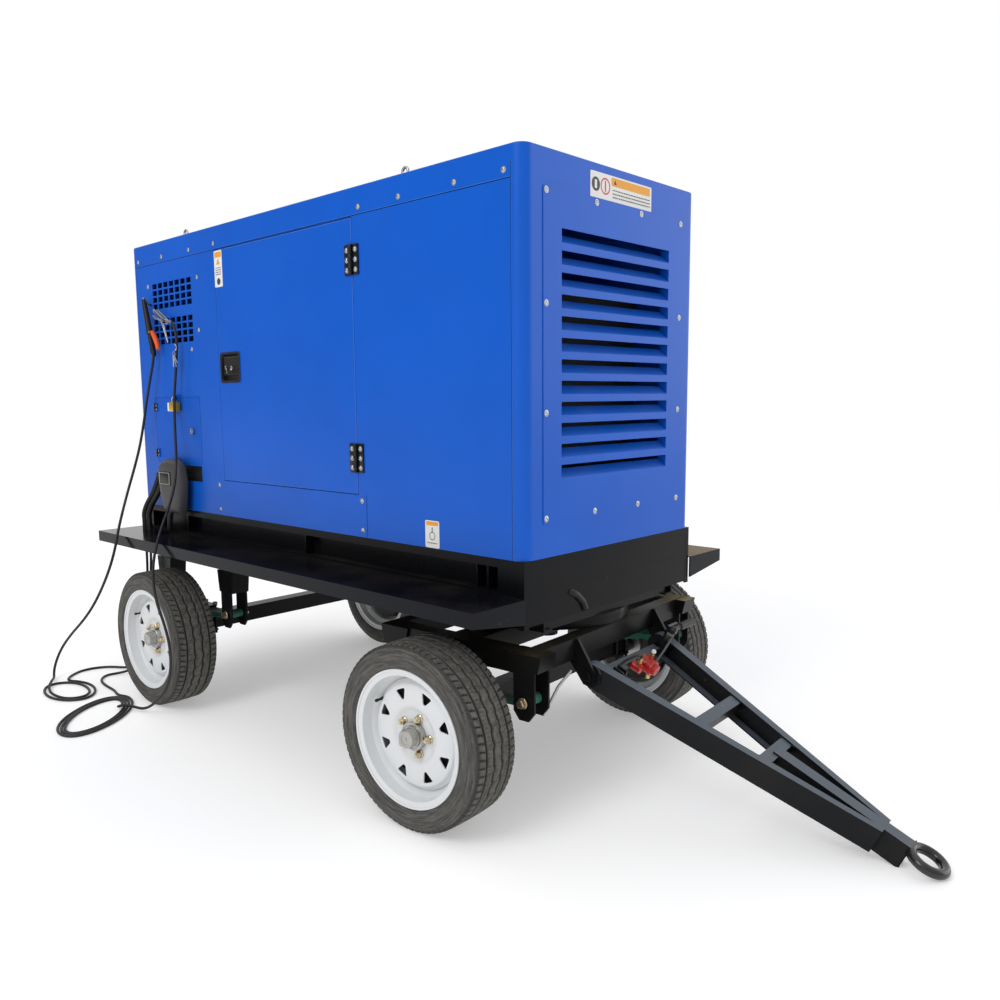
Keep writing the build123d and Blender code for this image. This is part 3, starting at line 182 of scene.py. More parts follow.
def rubbedEdges():
    # a few small chips in the paint, gathered in patches
    tree, start, end = newGroup(
        "rubbedEdges",
        [("Colour", "NodeSocketColor", (0.5, 0.5, 0.5, 1)), ("Bare Colour", "NodeSocketColor", (0.35, 0.33,
                                                                                                0.3, 1)),
         ("Amount", "NodeSocketFloat", 0.5)],
        [("Colour", "NodeSocketColor"), ("Mask", "NodeSocketFloat")],
    )
    links = tree.links
    place = addNode(tree, "ShaderNodeTexCoord", (-900, 200))
    patch = noiseMask(tree, links, place.outputs["Object"], 4.0, 3.0, 0.58, 0.72, (-700, -100))
    chips = noiseMask(tree, links, place.outputs["Object"], 85.0, 5.0, 0.66, 0.70, (-700, 200))
    mask = addNode(tree, "ShaderNodeMath", (-200, 60), operation="MULTIPLY")
    links.new(patch, mask.inputs[0])
    links.new(chips, mask.inputs[1])
    scaled = addNode(tree, "ShaderNodeMath", (0, 60), operation="MULTIPLY", use_clamp=True)
    links.new(mask.outputs[0], scaled.inputs[0])
    links.new(start.outputs["Amount"], scaled.inputs[1])
    tint = addNode(tree, "ShaderNodeMix", (300, 200), data_type="RGBA")
    links.new(scaled.outputs[0], tint.inputs["Factor"])
    links.new(start.outputs["Colour"], tint.inputs[6])
    links.new(start.outputs["Bare Colour"], tint.inputs[7])
    links.new(tint.outputs[2], end.inputs["Colour"])
    links.new(scaled.outputs[0], end.inputs["Mask"])
    return tree


dustGroup, skinGroup, edgeGroup = settledDust(), paintSkin(), rubbedEdges()


def placeGroup(tree, group, at, **values):
    node = addNode(tree, "ShaderNodeGroup", at, node_tree=group)
    for name, value in values.items():
        node.inputs[name.replace("_", " ")].default_value = value
    return node


def rgba(colour):
    return (*colour, 1)


def paint(name, colour, rough=0.35, peel=350.0, bump=0.03, onTop=0.3, allOver=0.04, wear=0.4,
          dust=(0.36, 0.30, 0.23), metallic=0.0, shade=0.12, bare=(0.35, 0.33, 0.30), shine=0.3):
    # sprayed paint, moulded plastic or plain metal, with chips and dust
    material = bpy.data.materials.new(name)
    material.use_nodes = True
    tree = material.node_tree
    links, shader = tree.links, tree.nodes["Principled BSDF"]
    skin = placeGroup(tree, skinGroup, (-900, 200), Colour=rgba(colour), Peel_Size=peel, Shade=shade)
    edges = placeGroup(tree, edgeGroup, (-700, 200), Amount=wear, Bare_Colour=rgba(bare))
    film = placeGroup(tree, dustGroup, (-480, 200), Dust_Colour=rgba(dust), On_Top=onTop, All_Over=allOver,
                      Roughness=rough)
    relief = addNode(tree, "ShaderNodeBump", (-260, -200))
    relief.inputs["Strength"].default_value = bump
    relief.inputs["Distance"].default_value = 0.002
    links.new(skin.outputs["Colour"], edges.inputs["Colour"])
    links.new(edges.outputs["Colour"], film.inputs["Colour"])
    links.new(film.outputs["Colour"], shader.inputs["Base Color"])
    links.new(film.outputs["Roughness"], shader.inputs["Roughness"])
    links.new(skin.outputs["Height"], relief.inputs["Height"])
    links.new(relief.outputs["Normal"], shader.inputs["Normal"])
    shader.inputs["Metallic"].default_value = metallic
    shader.inputs["Specular IOR Level"].default_value = shine
    return material


def skyLitTopPaint(name, top, side, up, **values):
    # a painted sky reflection: a lighter colour on the faces that look along up, the paint's own colour on the
    # rest
    material = paint(name, side, **values)
    tree = material.node_tree
    edges = [node for node in tree.nodes if node.type == "GROUP" and node.node_tree == edgeGroup][0]
    skin = [node for node in tree.nodes if node.type == "GROUP" and node.node_tree == skinGroup][0]
    place = addNode(tree, "ShaderNodeTexCoord", (-1500, 0))
    facing = addNode(tree, "ShaderNodeVectorMath", (-1300, 0), operation="DOT_PRODUCT")
    facing.inputs[1].default_value = up
    tree.links.new(place.outputs["Normal"], facing.inputs[0])
    ramp = addNode(tree, "ShaderNodeMapRange", (-1100, 0), interpolation_type="SMOOTHSTEP")
    ramp.inputs["From Min"].default_value, ramp.inputs["From Max"].default_value = 0.5, 0.8
    tree.links.new(facing.outputs["Value"], ramp.inputs["Value"])
    mix = addNode(tree, "ShaderNodeMix", (-700, -100), data_type="RGBA")
    # top: the lighter colour that paints the sky's reflection on the upward faces
    mix.inputs[7].default_value = rgba(top)
    tree.links.new(ramp.outputs["Result"], mix.inputs["Factor"])
    tree.links.new(skin.outputs["Colour"], mix.inputs[6])
    tree.links.new(mix.outputs[2], edges.inputs["Colour"])
    return material


barUp = barFrame.to_3x3() @ Vector((0, 0, 1))
finish = dict(
    canopyBlue=paint("canopyBlue", (0.0030, 0.100, 0.560), rough=0.30, onTop=0.06, allOver=0.004, wear=0.10,
                     shine=0.20,
                     shade=0.08),
    hatchBlue=paint("hatchBlue", (0.0035, 0.092, 0.520), rough=0.36, onTop=0.06, allOver=0.010, wear=0.15,
                    shine=0.12),
    chassisBlack=paint("chassisBlack", (0.0045, 0.0050, 0.0062), rough=0.26, onTop=0.08, allOver=0.005,
                       wear=0.3, shine=0.12),
    eyeBlack=paint("eyeBlack", (0.006, 0.0065, 0.0075), rough=0.16, onTop=0.04, allOver=0.010, wear=0.4,
                   shine=0.6),
    skidBlack=paint("skidBlack", (0.0030, 0.0036, 0.0050), rough=0.24, onTop=0.04, allOver=0.005, wear=0.2,
                    shine=0.09),
    # the deck's and the bogie's tan dust colour also serves as the painted far-side reflection set below
    deckBlack=paint("deckBlack", (0.0030, 0.0038, 0.0070), rough=0.14, onTop=0.04, allOver=0.003, wear=0.25,
                    shine=0.12,
                    dust=(0.30, 0.23, 0.15)),
    bogieBlack=paint("bogieBlack", (0.0045, 0.0048, 0.0055), rough=0.30, onTop=0.08, allOver=0.008, wear=0.3,
                     shine=0.13,
                     dust=(0.34, 0.27, 0.15)),
    # the drawbar: black paint, with its upward faces painted a lighter grey-blue as a painted sky reflection
    barGrey=skyLitTopPaint("barGrey", (0.085, 0.106, 0.132), (0.0050, 0.0060, 0.0078), barUp, rough=0.38, onTop=0.05,
                     allOver=0.015, wear=0.8, peel=220.0, bump=0.05, shine=0.16),
    wheelWhite=paint("wheelWhite", (0.76, 0.78, 0.80), rough=0.36, onTop=0.10, allOver=0.10, wear=0.1, shine=0.35,
                     dust=(0.45, 0.40, 0.33), bare=(0.5, 0.48, 0.45), shade=0.06),
    drumGrey=paint("drumGrey", (0.030, 0.031, 0.033), rough=0.6, onTop=0.1, allOver=0.1, wear=0.2, shine=0.2),
    springGreen=paint("springGreen", (0.008, 0.12, 0.085), rough=0.5, onTop=0.15, allOver=0.08, wear=0.4),
    zinc=paint("zinc", (0.66, 0.56, 0.38), rough=0.28, metallic=1.0, onTop=0.1, allOver=0.03, wear=0,
               bump=0.02, shine=0.5),
    brightZinc=paint("brightZinc", (0.50, 0.51, 0.52), rough=0.25, metallic=1.0, onTop=0.05, allOver=0.02,
                     wear=0, shine=0.5),
    steel=paint("steel", (0.48, 0.47, 0.45), rough=0.33, metallic=1.0, onTop=0.1, allOver=0.05, wear=0,
                bump=0.06, shine=0.5),
    brass=paint("brass", (0.62, 0.42, 0.15), rough=0.3, metallic=1.0, onTop=0.1, allOver=0.05, wear=0, shine=0.5),
    castGrey=paint("castGrey", (0.09, 0.10, 0.11), rough=0.55, onTop=0.3, allOver=0.08, wear=0.5, peel=160.0,
                   bump=0.2),
    alloy=paint("alloy", (0.50, 0.51, 0.52), rough=0.45, metallic=0.8, onTop=0.2, allOver=0.08, wear=0.1,
                bump=0.1),
    blackPlastic=paint("blackPlastic", (0.008, 0.008, 0.009), rough=0.42, onTop=0.10, allOver=0.02, wear=0.1,
                       peel=600.0, bump=0.05, bare=(0.08, 0.08, 0.08), shine=0.3),
    hingeBlack=paint("hingeBlack", (0.005, 0.005, 0.006), rough=0.30, onTop=0.06, allOver=0.01, wear=0.2,
                     shine=0.3),
    boardGrey=paint("boardGrey", (0.020, 0.020, 0.022), rough=0.5, onTop=0.1, allOver=0.04, wear=0.2),
    leverOrange=paint("leverOrange", (0.80, 0.10, 0.012), rough=0.38, onTop=0.06, allOver=0.03, wear=0.1,
                      peel=600.0,
                      bare=(0.9, 0.35, 0.15)),
    cylinderRed=paint("cylinderRed", (0.46, 0.008, 0.008), rough=0.28, onTop=0.1, allOver=0.03, wear=0.3,
                      shine=0.4),
    cableRubber=paint("cableRubber", (0.012, 0.012, 0.013), rough=0.50, onTop=0.12, allOver=0.06, wear=0,
                      peel=900.0,
                      bump=0.08, dust=(0.30, 0.27, 0.23)),
    sleeveBlack=paint("sleeveBlack", (0.007, 0.007, 0.008), rough=0.38, onTop=0.1, allOver=0.02, wear=0),
    shieldBlack=paint("shieldBlack", (0.050, 0.051, 0.054), rough=0.45, onTop=0.10, allOver=0.05, wear=0.3,
                      bare=(0.10, 0.10, 0.10)),
    yellow=paint("yellow", (0.72, 0.42, 0.05), rough=0.32, metallic=0.7, onTop=0.1, allOver=0.03, wear=0.2,
                 shine=0.5),
    labelWhite=paint("labelWhite", (0.80, 0.80, 0.78), rough=0.45, onTop=0, allOver=0.03, wear=0, shade=0.04),
    labelOrange=paint("labelOrange", (0.82, 0.36, 0.03), rough=0.45, onTop=0, allOver=0.03, wear=0, shade=0.04),
    labelRed=paint("labelRed", (0.60, 0.03, 0.03), rough=0.45, onTop=0, allOver=0.03, wear=0, shade=0.04),
    labelGrey=paint("labelGrey", (0.06, 0.06, 0.07), rough=0.5, onTop=0, allOver=0.03, wear=0, shade=0.04),
    # painted shade: a near-black blue for the strips that paint the shade in the gaps between the sheets
    seamBlue=paint("seamBlue", (0.0010, 0.012, 0.070), rough=0.6, onTop=0, allOver=0, wear=0, shine=0.05),
    # painted highlight: a lighter blue for the strips and tubes that paint the light caught by folded and door
    # edges
    edgeBlue=paint("edgeBlue", (0.045, 0.170, 0.600), rough=0.28, onTop=0, allOver=0, wear=0.1, shine=0.6),
    radiatorBlack=paint("radiatorBlack", (0.010, 0.010, 0.011), rough=0.6, onTop=0.1, allOver=0.03, wear=0.1,
                        shine=0.2),
    gripGrey=paint("gripGrey", (0.10, 0.10, 0.105), rough=0.45, onTop=0.05, allOver=0.05, wear=0.1, peel=500.0),
)


def farSideDustAndSheen(material, start, full, most):
    # thicker tan film towards the far side: partly dust, partly a painted reflection of grazing light there
    tree = material.node_tree
    film = [node for node in tree.nodes if node.type == "GROUP" and node.node_tree == dustGroup][0]
    place = addNode(tree, "ShaderNodeTexCoord", (-1500, -400))
    split = addNode(tree, "ShaderNodeSeparateXYZ", (-1300, -400))
    ramp = addNode(tree, "ShaderNodeMapRange", (-1100, -400), interpolation_type="SMOOTHSTEP")
    ramp.inputs["From Min"].default_value, ramp.inputs["From Max"].default_value = start, full
    ramp.inputs["To Min"].default_value = film.inputs["On Top"].default_value
    ramp.inputs["To Max"].default_value = most
    tree.links.new(place.outputs["Object"], split.inputs[0])
    tree.links.new(split.outputs["Y"], ramp.inputs["Value"])
    tree.links.new(ramp.outputs["Result"], film.inputs["On Top"])


# more tan on the far side of the deck and the bogie: dust together with a painted grazing reflection
farSideDustAndSheen(finish["deckBlack"], 0.35, 0.55, 2.2)
farSideDustAndSheen(finish["bogieBlack"], 0.30, 0.55, 1.6)


rubber = dict(colour=(0.020, 0.020, 0.021), dust=(0.150, 0.142, 0.128), grooveLow=0.2950, grooveHigh=0.2985,
              tread=0.80,
            wall=0.85, streaks=52.0)


def tyreMaterial():
    # dust on the tread blocks, dark grooves, and streaks of dried mud that run round the sidewall
    material = bpy.data.materials.new("tyreRubber")
    material.use_nodes = True
    tree = material.node_tree
    links, shader = tree.links, tree.nodes["Principled BSDF"]
    place = addNode(tree, "ShaderNodeTexCoord", (-1900, 0))
    split = addNode(tree, "ShaderNodeSeparateXYZ", (-1700, 0))
    links.new(place.outputs["Object"], split.inputs[0])
    flat = addNode(tree, "ShaderNodeCombineXYZ", (-1500, 100))
    links.new(split.outputs["X"], flat.inputs["X"])
    links.new(split.outputs["Z"], flat.inputs["Z"])
    radius = addNode(tree, "ShaderNodeVectorMath", (-1300, 100), operation="LENGTH")
    links.new(flat.outputs[0], radius.inputs[0])
    angle = addNode(tree, "ShaderNodeMath", (-1500, -100), operation="ARCTAN2")
    links.new(split.outputs["X"], angle.inputs[0])
    links.new(split.outputs["Z"], angle.inputs[1])
    tread = addNode(tree, "ShaderNodeMapRange", (-1100, 200), interpolation_type="SMOOTHSTEP")
    tread.inputs["From Min"].default_value = rubber["grooveLow"]
    tread.inputs["From Max"].default_value = rubber["grooveHigh"]
    links.new(radius.outputs["Value"], tread.inputs["Value"])
    wall = addNode(tree, "ShaderNodeMapRange", (-1100, 0), interpolation_type="SMOOTHSTEP")
    wall.inputs["From Min"].default_value, wall.inputs["From Max"].default_value = 0.290, 0.284
    links.new(radius.outputs["Value"], wall.inputs["Value"])
    rings = addNode(tree, "ShaderNodeMath", (-1300, -200), operation="MULTIPLY")
    links.new(radius.outputs["Value"], rings.inputs[0])
    rings.inputs[1].default_value = rubber["streaks"]
    around = addNode(tree, "ShaderNodeCombineXYZ", (-1100, -200))
    links.new(rings.outputs[0], around.inputs["X"])
    links.new(angle.outputs[0], around.inputs["Y"])
    links.new(split.outputs["Y"], around.inputs["Z"])
    streak = noiseMask(tree, links, around.outputs[0], 4.5, 9.0, 0.22, 0.86, (-900, -200))
    patches = noiseMask(tree, links, place.outputs["Object"], 55.0, 9.0, 0.10, 0.80, (-900, -420))
    grain = noiseMask(tree, links, place.outputs["Object"], 240.0, 4.0, 0.25, 0.75, (-900, -640))
    wallDust = addNode(tree, "ShaderNodeMath", (-600, -100), operation="MULTIPLY")
    links.new(wall.outputs["Result"], wallDust.inputs[0])
    links.new(streak, wallDust.inputs[1])
    treadDust = addNode(tree, "ShaderNodeMath", (-600, 150), operation="MULTIPLY")
    links.new(tread.outputs["Result"], treadDust.inputs[0])
    links.new(patches, treadDust.inputs[1])
    wallScaled = addNode(tree, "ShaderNodeMath", (-420, -100), operation="MULTIPLY")
    links.new(wallDust.outputs[0], wallScaled.inputs[0])
    wallScaled.inputs[1].default_value = rubber["wall"]
    treadScaled = addNode(tree, "ShaderNodeMath", (-420, 150), operation="MULTIPLY_ADD")
    links.new(treadDust.outputs[0], treadScaled.inputs[0])
    treadScaled.inputs[1].default_value = rubber["tread"]
    links.new(wallScaled.outputs[0], treadScaled.inputs[2])
    grained = addNode(tree, "ShaderNodeMath", (-240, 100), operation="MULTIPLY_ADD", use_clamp=True)
    links.new(grain, grained.inputs[0])
    grained.inputs[1].default_value = 0.22
    links.new(treadScaled.outputs[0], grained.inputs[2])
    tint = addNode(tree, "ShaderNodeMix", (-40, 100), data_type="RGBA")
    tint.inputs[6].default_value, tint.inputs[7].default_value = rgba(rubber["colour"]), rgba(rubber["dust"])
    links.new(grained.outputs[0], tint.inputs["Factor"])
    links.new(tint.outputs[2], shader.inputs["Base Color"])
    rough = addNode(tree, "ShaderNodeMapRange", (-40, -100))
    rough.inputs["To Min"].default_value, rough.inputs["To Max"].default_value = 0.50, 0.85
    links.new(grained.outputs[0], rough.inputs["Value"])
    links.new(rough.outputs["Result"], shader.inputs["Roughness"])
    relief = addNode(tree, "ShaderNodeBump", (-40, -300))
    relief.inputs["Strength"].default_value, relief.inputs["Distance"].default_value = 0.25, 0.001
    links.new(grain, relief.inputs["Height"])
    links.new(relief.outputs["Normal"], shader.inputs["Normal"])
    shader.inputs["Specular IOR Level"].default_value = 0.25
    return material


finish["tyreRubber"] = tyreMaterial()
dressed = dict(
    canopyBlue=("side_panel_right", "side_panel_left", "front_shell", "rear_shell", "roof_cover", "louvre_panel",
                "inlet_grids", "door_right", "door_left"),
    brightZinc=("panel_bolts", "access_knob"),
    hatchBlue=("access_door",), hingeBlack=("hinge_brackets",),
    chassisBlack=("chassis_frame", "fuel_tank", "turntable_ring", "front_axle",
                  "rear_axle"), eyeBlack=("tow_eye",),
    skidBlack=("skid_base",), deckBlack=("deck",), bogieBlack=("bogie_frame",), barGrey=("drawbar",),
    wheelWhite=("wheel_front_right", "wheel_front_left", "wheel_rear_right", "wheel_rear_left"),
    tyreRubber=("tyre_front_right", "tyre_front_left", "tyre_rear_right", "tyre_rear_left"),
    springGreen=("front_springs", "rear_springs"), castGrey=("engine_block", "cylinder_head"),
    alloy=("alternator", "muffler"), radiatorBlack=("radiator",), boardGrey=("terminal_board", "control_panel"),
    blackPlastic=("air_filter", "battery", "cooling_fan", "latch_paddle_right", "latch_paddle_left", "brake_lever",
                  "electrode_holder"),
    leverOrange=("holder_lever",), steel=("earth_clamp", "clamp_jaw",
                                          "lifting_eyes"), cylinderRed=("brake_cylinder",),
    sleeveBlack=("conduits",), shieldBlack=("hand_shield",),
    cableRubber=("lead_electrode_feed", "lead_electrode_coil", "lead_electrode_drop", "lead_earth_feed",
                 "lead_earth_coil", "lead_earth_drop"),
)
for finishName, members in dressed.items():
    for member in members:
        nodes[member].data.materials.clear()
        nodes[member].data.materials.append(finish[finishName])
print("finishes:", len(finish))


# cords
def leadCurve(name, points, thickness):
    curve = bpy.data.curves.new(name, "CURVE")
    curve.dimensions = "3D"
    curve.bevel_depth, curve.bevel_resolution, curve.resolution_u = thickness / 2, 5, 6
    spline = curve.splines.new("NURBS")
    spline.points.add(len(points) - 1)
    for point, place in zip(spline.points, points):
        point.co = (*[value / 1000 for value in place], 1)
    spline.order_u = 3
    spline.use_endpoint_u = True
    lead = bpy.data.objects.new(name, curve)
    bpy.context.scene.collection.objects.link(lead)
    curve.materials.append(finish["cableRubber"])
    return lead


def looseTurns(turns):
    # points round a loose coil, from its outer turn to its inner one
    points = []
    steps = turns["points"]
    swept = turns["first"] - turns["last"]
    for step in range(steps + 1):
        share = step / steps
        angle = math.radians(turns["first"] - swept * share)
        wobble = turns["wobble"] * math.sin(2.3 * angle + turns["phase"])
        long = turns["outer"][0] + (turns["inner"][0] - turns["outer"][0]) * share + wobble
        wide = turns["outer"][1] + (turns["inner"][1] - turns["outer"][1]) * share - wobble * 0.6
        tilt = math.radians(turns["tilt"])
        u, v = long * math.cos(angle), wide * math.sin(angle)
        points.append((turns["centre"][0] + u * math.cos(tilt) - v * math.sin(tilt),
                       turns["centre"][1] + u * math.sin(tilt) + v * math.cos(tilt), 7))
    return points


electrodeLead = dict(
    thickness=0.012,
    feed=[(-1655, -545, 735), (-1655, -545, 625), (-1648, -552, 500), (-1660, -560, 370), (-1664, -562, 240),
          (-1690, -566, 120), (-1752, -574, 38), (-1850, -592, 7), (-1950, -650, 7), (-1985, -755, 7),
          (-1935, -840, 7)],
    turns=dict(centre=(-1710, -940), outer=(180, 112), inner=(132, 70), tilt=0, first=150, last=-480, points=26,
               wobble=4, phase=0.6),
    over=[(-1822, -985, 17), (-1862, -958, 24), (-1900, -938, 20)],
    drop=[(-1950, -914, 9), (-1990, -897, 40), (-1975, -884, 98), (-1930, -870, 165), (-1846, -855, 240),
          (-1738, -840, 318), (-1648, -825, 400), (-1578, -810, 488), (-1528, -792, 578), (-1512, -765, 672),
          (-1545, -728, 762), (-1612, -672, 838), (-1656, -618, 935), (-1664, -575, 1042), (-1645, -550, 1150),
          (-1618, -538, 1262), (-1590, -530, 1370), (-1552, -524, 1475), (-1527, -515, 1560), (-1546, -515, 1629),
          (-1565, -515, 1699)],
)
earthLead = dict(
    thickness=0.012,
    feed=[(-1610, -545, 735), (-1610, -545, 625), (-1616, -552, 500), (-1606, -560, 370), (-1612, -566, 240),
          (-1640, -578, 125), (-1700, -600, 45), (-1790, -640, 7), (-1815, -720, 7), (-1745, -775, 7),
          (-1640, -790, 7), (-1555, -790, 7)],
    turns=dict(centre=(-1290, -990), outer=(252, 130), inner=(200, 84), tilt=-47, first=185, last=-955, points=46,
               wobble=4, phase=0.2),
    over=[(-1300, -893, 15), (-1275, -872, 25), (-1246, -852, 22)],
    drop=[(-1180, -825, 14), (-1110, -810, 52), (-1036, -804, 108), (-978, -802, 176), (-952, -802, 256),
          (-955, -802, 345), (-995, -802, 430), (-1060, -800, 512), (-1104, -788, 606), (-1140, -758, 694),
          (-1180, -704, 790), (-1202, -645, 890), (-1222, -602, 985), (-1275, -562, 1092), (-1340, -528, 1218),
          (-1348, -520, 1360), (-1322, -517, 1490), (-1306, -515, 1590), (-1308, -515, 1660), (-1337, -515, 1703),
          (-1368, -513, 1708)],
)

leads = {}
for leadName, facts in (("electrodeLead", electrodeLead), ("earthLead", earthLead)):
    route = facts["feed"] + looseTurns(facts["turns"]) + facts["over"] + facts["drop"]
    leads[leadName] = leadCurve(leadName, route, facts["thickness"])
print("leads laid")


# helpers for meshes
def dressPiece(name, data, finishName, body, smooth=40):
    if finishName:
        data.materials.clear()
        data.materials.append(finish[finishName])
    for polygon in data.polygons:
        polygon.use_smooth = True
    data.set_sharp_from_angle(angle=math.radians(smooth))
    piece = bpy.data.objects.new(name, data)
    bpy.context.scene.collection.objects.link(piece)
    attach(piece, body)
    return piece


def startMesh():
    return bmesh.new()


def addBlock(work, low, high, matrix=Matrix(), rounding=0.0, segments=2):
    made = bmesh.ops.create_cube(work, size=1)["verts"]
    low, high = Vector(low), Vector(high)
    for vert in made:
        vert.co = Vector([(low[i] + high[i]) / 2 + vert.co[i] * (high[i] - low[i]) for i in range(3)])
    if rounding:
        edges = list({edge for vert in made for edge in vert.link_edges})
        made = list({v for f in bmesh.ops.bevel(work, geom=edges, offset=rounding, segments=segments, profile=0.6,
                                                affect="EDGES")["faces"] for v in f.verts} |
                    {v for v in made if v.is_valid})
    bmesh.ops.transform(work, matrix=matrix, verts=[v for v in made if v.is_valid])


def turned(work, outline, matrix=Matrix(), around=48):
    # a closed or capped shape turned about Z from (radius, height) points
    rings = []
    for radius, height in outline:
        if radius < 1e-6:
            rings.append([work.verts.new(matrix @ Vector((0, 0, height)))])
        else:
            rings.append([work.verts.new(matrix @ Vector((radius * math.cos(2 * math.pi * i / around),
                                                           radius * math.sin(2 * math.pi * i / around), height)))
                          for i in range(around)])
    for lower, upper in zip(rings, rings[1:]):
        for i in range(around):
            j = (i + 1) % around
            if len(lower) == 1 and len(upper) == 1:
                break
            if len(lower) == 1:
                work.faces.new((lower[0], upper[j], upper[i]))
            elif len(upper) == 1:
                work.faces.new((lower[i], lower[j], upper[0]))
            else:
                work.faces.new((lower[i], lower[j], upper[j], upper[i]))


def tube(work, line, radius, around=14):
    # a round bar along points, with closed ends; radius may be one value or one for each point
    line = [Vector(p) for p in line]
    radii = radius if isinstance(radius, (list, tuple)) else [radius] * len(line)
    side = None
    rings = []
    for index, place in enumerate(line):
        ahead = line[min(index + 1, len(line) - 1)] - line[max(index - 1, 0)]
        ahead.normalize()
        if side is None:
            side = ahead.orthogonal().normalized()
        side = (side - ahead * side.dot(ahead)).normalized()
        other = ahead.cross(side)
        rings.append([work.verts.new(place + (side * math.cos(2 * math.pi * i / around) +
                                              other * math.sin(2 * math.pi * i / around)) * radii[index])
                      for i in range(around)])
    for lower, upper in zip(rings, rings[1:]):
        for i in range(around):
            j = (i + 1) % around
            work.faces.new((lower[i], lower[j], upper[j], upper[i]))
    work.faces.new(list(reversed(rings[0])))
    work.faces.new(rings[-1])


def meshData(work, name):
    data = bpy.data.meshes.new(name)
    bmesh.ops.recalc_face_normals(work, faces=work.faces)
    work.to_mesh(data)
    work.free()
    return data


def finishMesh(work, name, finishName, body, smooth=40):
    bmesh.ops.recalc_face_normals(work, faces=work.faces)
    data = bpy.data.meshes.new(name)
    work.to_mesh(data)
    work.free()
    return dressPiece(name, data, finishName, body, smooth)


def facing(point, direction):
    # a frame at point whose Z looks along direction
    z = Vector(direction).normalized()
    return Matrix.Translation(point) @ z.to_track_quat("Z", "Y").to_matrix().to_4x4()


def addBolt(work, matrix, across=0.013, head=0.0055, washer=0.0105):
    # washer and hexagon head
    turned(work, [(0, 0), (washer, 0), (washer, 0.0012), (washer - 0.0006, 0.0018), (0, 0.0018)], matrix, 24)
    r = across / math.sqrt(3)
    turned(work, [(0, 0.0018), (r, 0.0018), (r, head), (r * 0.86, head + 0.0012), (0, head + 0.0012)], matrix, 6)


def addDome(work, matrix, radius=0.0075, height=0.0042):
    # a button-head screw on a thin washer, with a hexagon socket
    turned(work, [(0, 0), (radius * 1.3, 0), (radius * 1.3, 0.0009), (radius * 1.02, 0.0014),
                  (radius * 0.97, height * 0.55), (radius * 0.80, height * 0.86), (radius * 0.52, height),
                  (radius * 0.36, height), (radius * 0.34, height * 0.6), (0, height * 0.6)], matrix, 20)


# canopy hardware
canopy = dict(screwRadius=0.0080, screwHeight=0.0046)
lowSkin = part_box("side_panel_right")[0]
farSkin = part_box("side_panel_left")[1].y
nearSkin = lowSkin.y
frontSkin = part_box("louvre_panel")[1].x


def islandCentres(node):
    # the middle of each separate solid of a CAD node
    work = bmesh.new()
    work.from_mesh(nodes[node].data)
    bmesh.ops.remove_doubles(work, verts=work.verts, dist=1e-6)
    seen, centres = set(), []
    for vert in work.verts:
        if vert in seen:
            continue
        stack, found = [vert], []
        seen.add(vert)
        while stack:
            here = stack.pop()
            found.append(here.co.copy())
            for edge in here.link_edges:
                other = edge.other_vert(here)
                if other not in seen:
                    seen.add(other)
                    stack.append(other)
        low = Vector([min(p[i] for p in found) for i in range(3)])
        high = Vector([max(p[i] for p in found) for i in range(3)])
        centres.append((low, high))
    work.free()
    return centres


screws = startMesh()
for low, high in islandCentres("panel_bolts"):
    middle = (low + high) / 2
    if high.x - low.x < high.y - low.y - 1e-4 or high.x > frontSkin + 0.001:
        matrix = facing((low.x, middle.y, middle.z), (1, 0, 0))
    elif middle.y < 0:
        matrix = facing((middle.x, high.y, middle.z), (0, -1, 0))
    else:
        matrix = facing((middle.x, low.y, middle.z), (0, 1, 0))
    addDome(screws, matrix, canopy["screwRadius"], canopy["screwHeight"])
panelScrews = finishMesh(screws, "panelScrews", "brightZinc", "trailer")
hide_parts("panel_bolts")


def hingeLeaves(side, doorBody):
    # black leaves with two bolts each, over the plates of the doors' hinges
    skin = nearSkin if side < 0 else farSkin
    for low, high in [pair for pair in islandCentres("hinge_brackets") if (pair[0].y + pair[1].y) * side > 0]:
        middle = (low.z + high.z) / 2
        tall = (high.z - low.z) / 2
        pivot = joints["door_right_swing"]["pos_m"][0]
        for name, body, near, far in (("fixedLeaf", "trailer", 0.0085, 0.0385),
                                      ("movingLeaf", doorBody, -0.0385, -0.0085)):
            leaf = startMesh()
            out0, out1 = skin, skin + side * 0.0052
            addBlock(leaf, (pivot + near, min(out0, out1), middle - tall - 0.0005),
                     (pivot + far, max(out0, out1), middle + tall + 0.0005), rounding=0.0015)
            finishMesh(leaf, f"{name}_{doorBody}_{round(middle * 100)}", "hingeBlack", body)
            bolts = startMesh()
            for z in (middle - tall * 0.66, middle, middle + tall * 0.66):
                addDome(bolts, facing((pivot + (near + far) / 2, out1, z), (0, side, 0)), 0.0078, 0.0052)
            finishMesh(bolts, f"{name}Bolts_{doorBody}_{round(middle * 100)}", "brightZinc", body)
        knuckle = startMesh()
        spine = (pivot, joints["door_right_swing"]["pos_m"][1] * -side, middle)
        for start, end in ((-1.0, -0.36), (-0.34, 0.34), (0.36, 1.0)):
            turned(knuckle, [(0, start * tall), (0.0070, start * tall), (0.0076, start * tall + 0.0008),
                             (0.0076, end * tall - 0.0008), (0.0070, end * tall), (0, end * tall)],
                   Matrix.Translation(spine), 20)
        finishMesh(knuckle, f"hingeKnuckle_{doorBody}_{round(middle * 100)}", "hingeBlack", "trailer")


hingeLeaves(-1, "door_right")
hingeLeaves(1, "door_left")


latch = dict(wide=0.158, tall=0.130, rim=0.010, corner=0.020)


def roundedLoop(wide, tall, radius, steps=5):
    points = []
    for cx, cz, start in ((1, 1, 0), (-1, 1, 90), (-1, -1, 180), (1, -1, 270)):
        for i in range(steps + 1):
            angle = math.radians(start + 90 * i / steps)
            points.append((cx * (wide / 2 - radius) + radius * math.cos(angle),
                           cz * (tall / 2 - radius) + radius * math.sin(angle)))
    return points


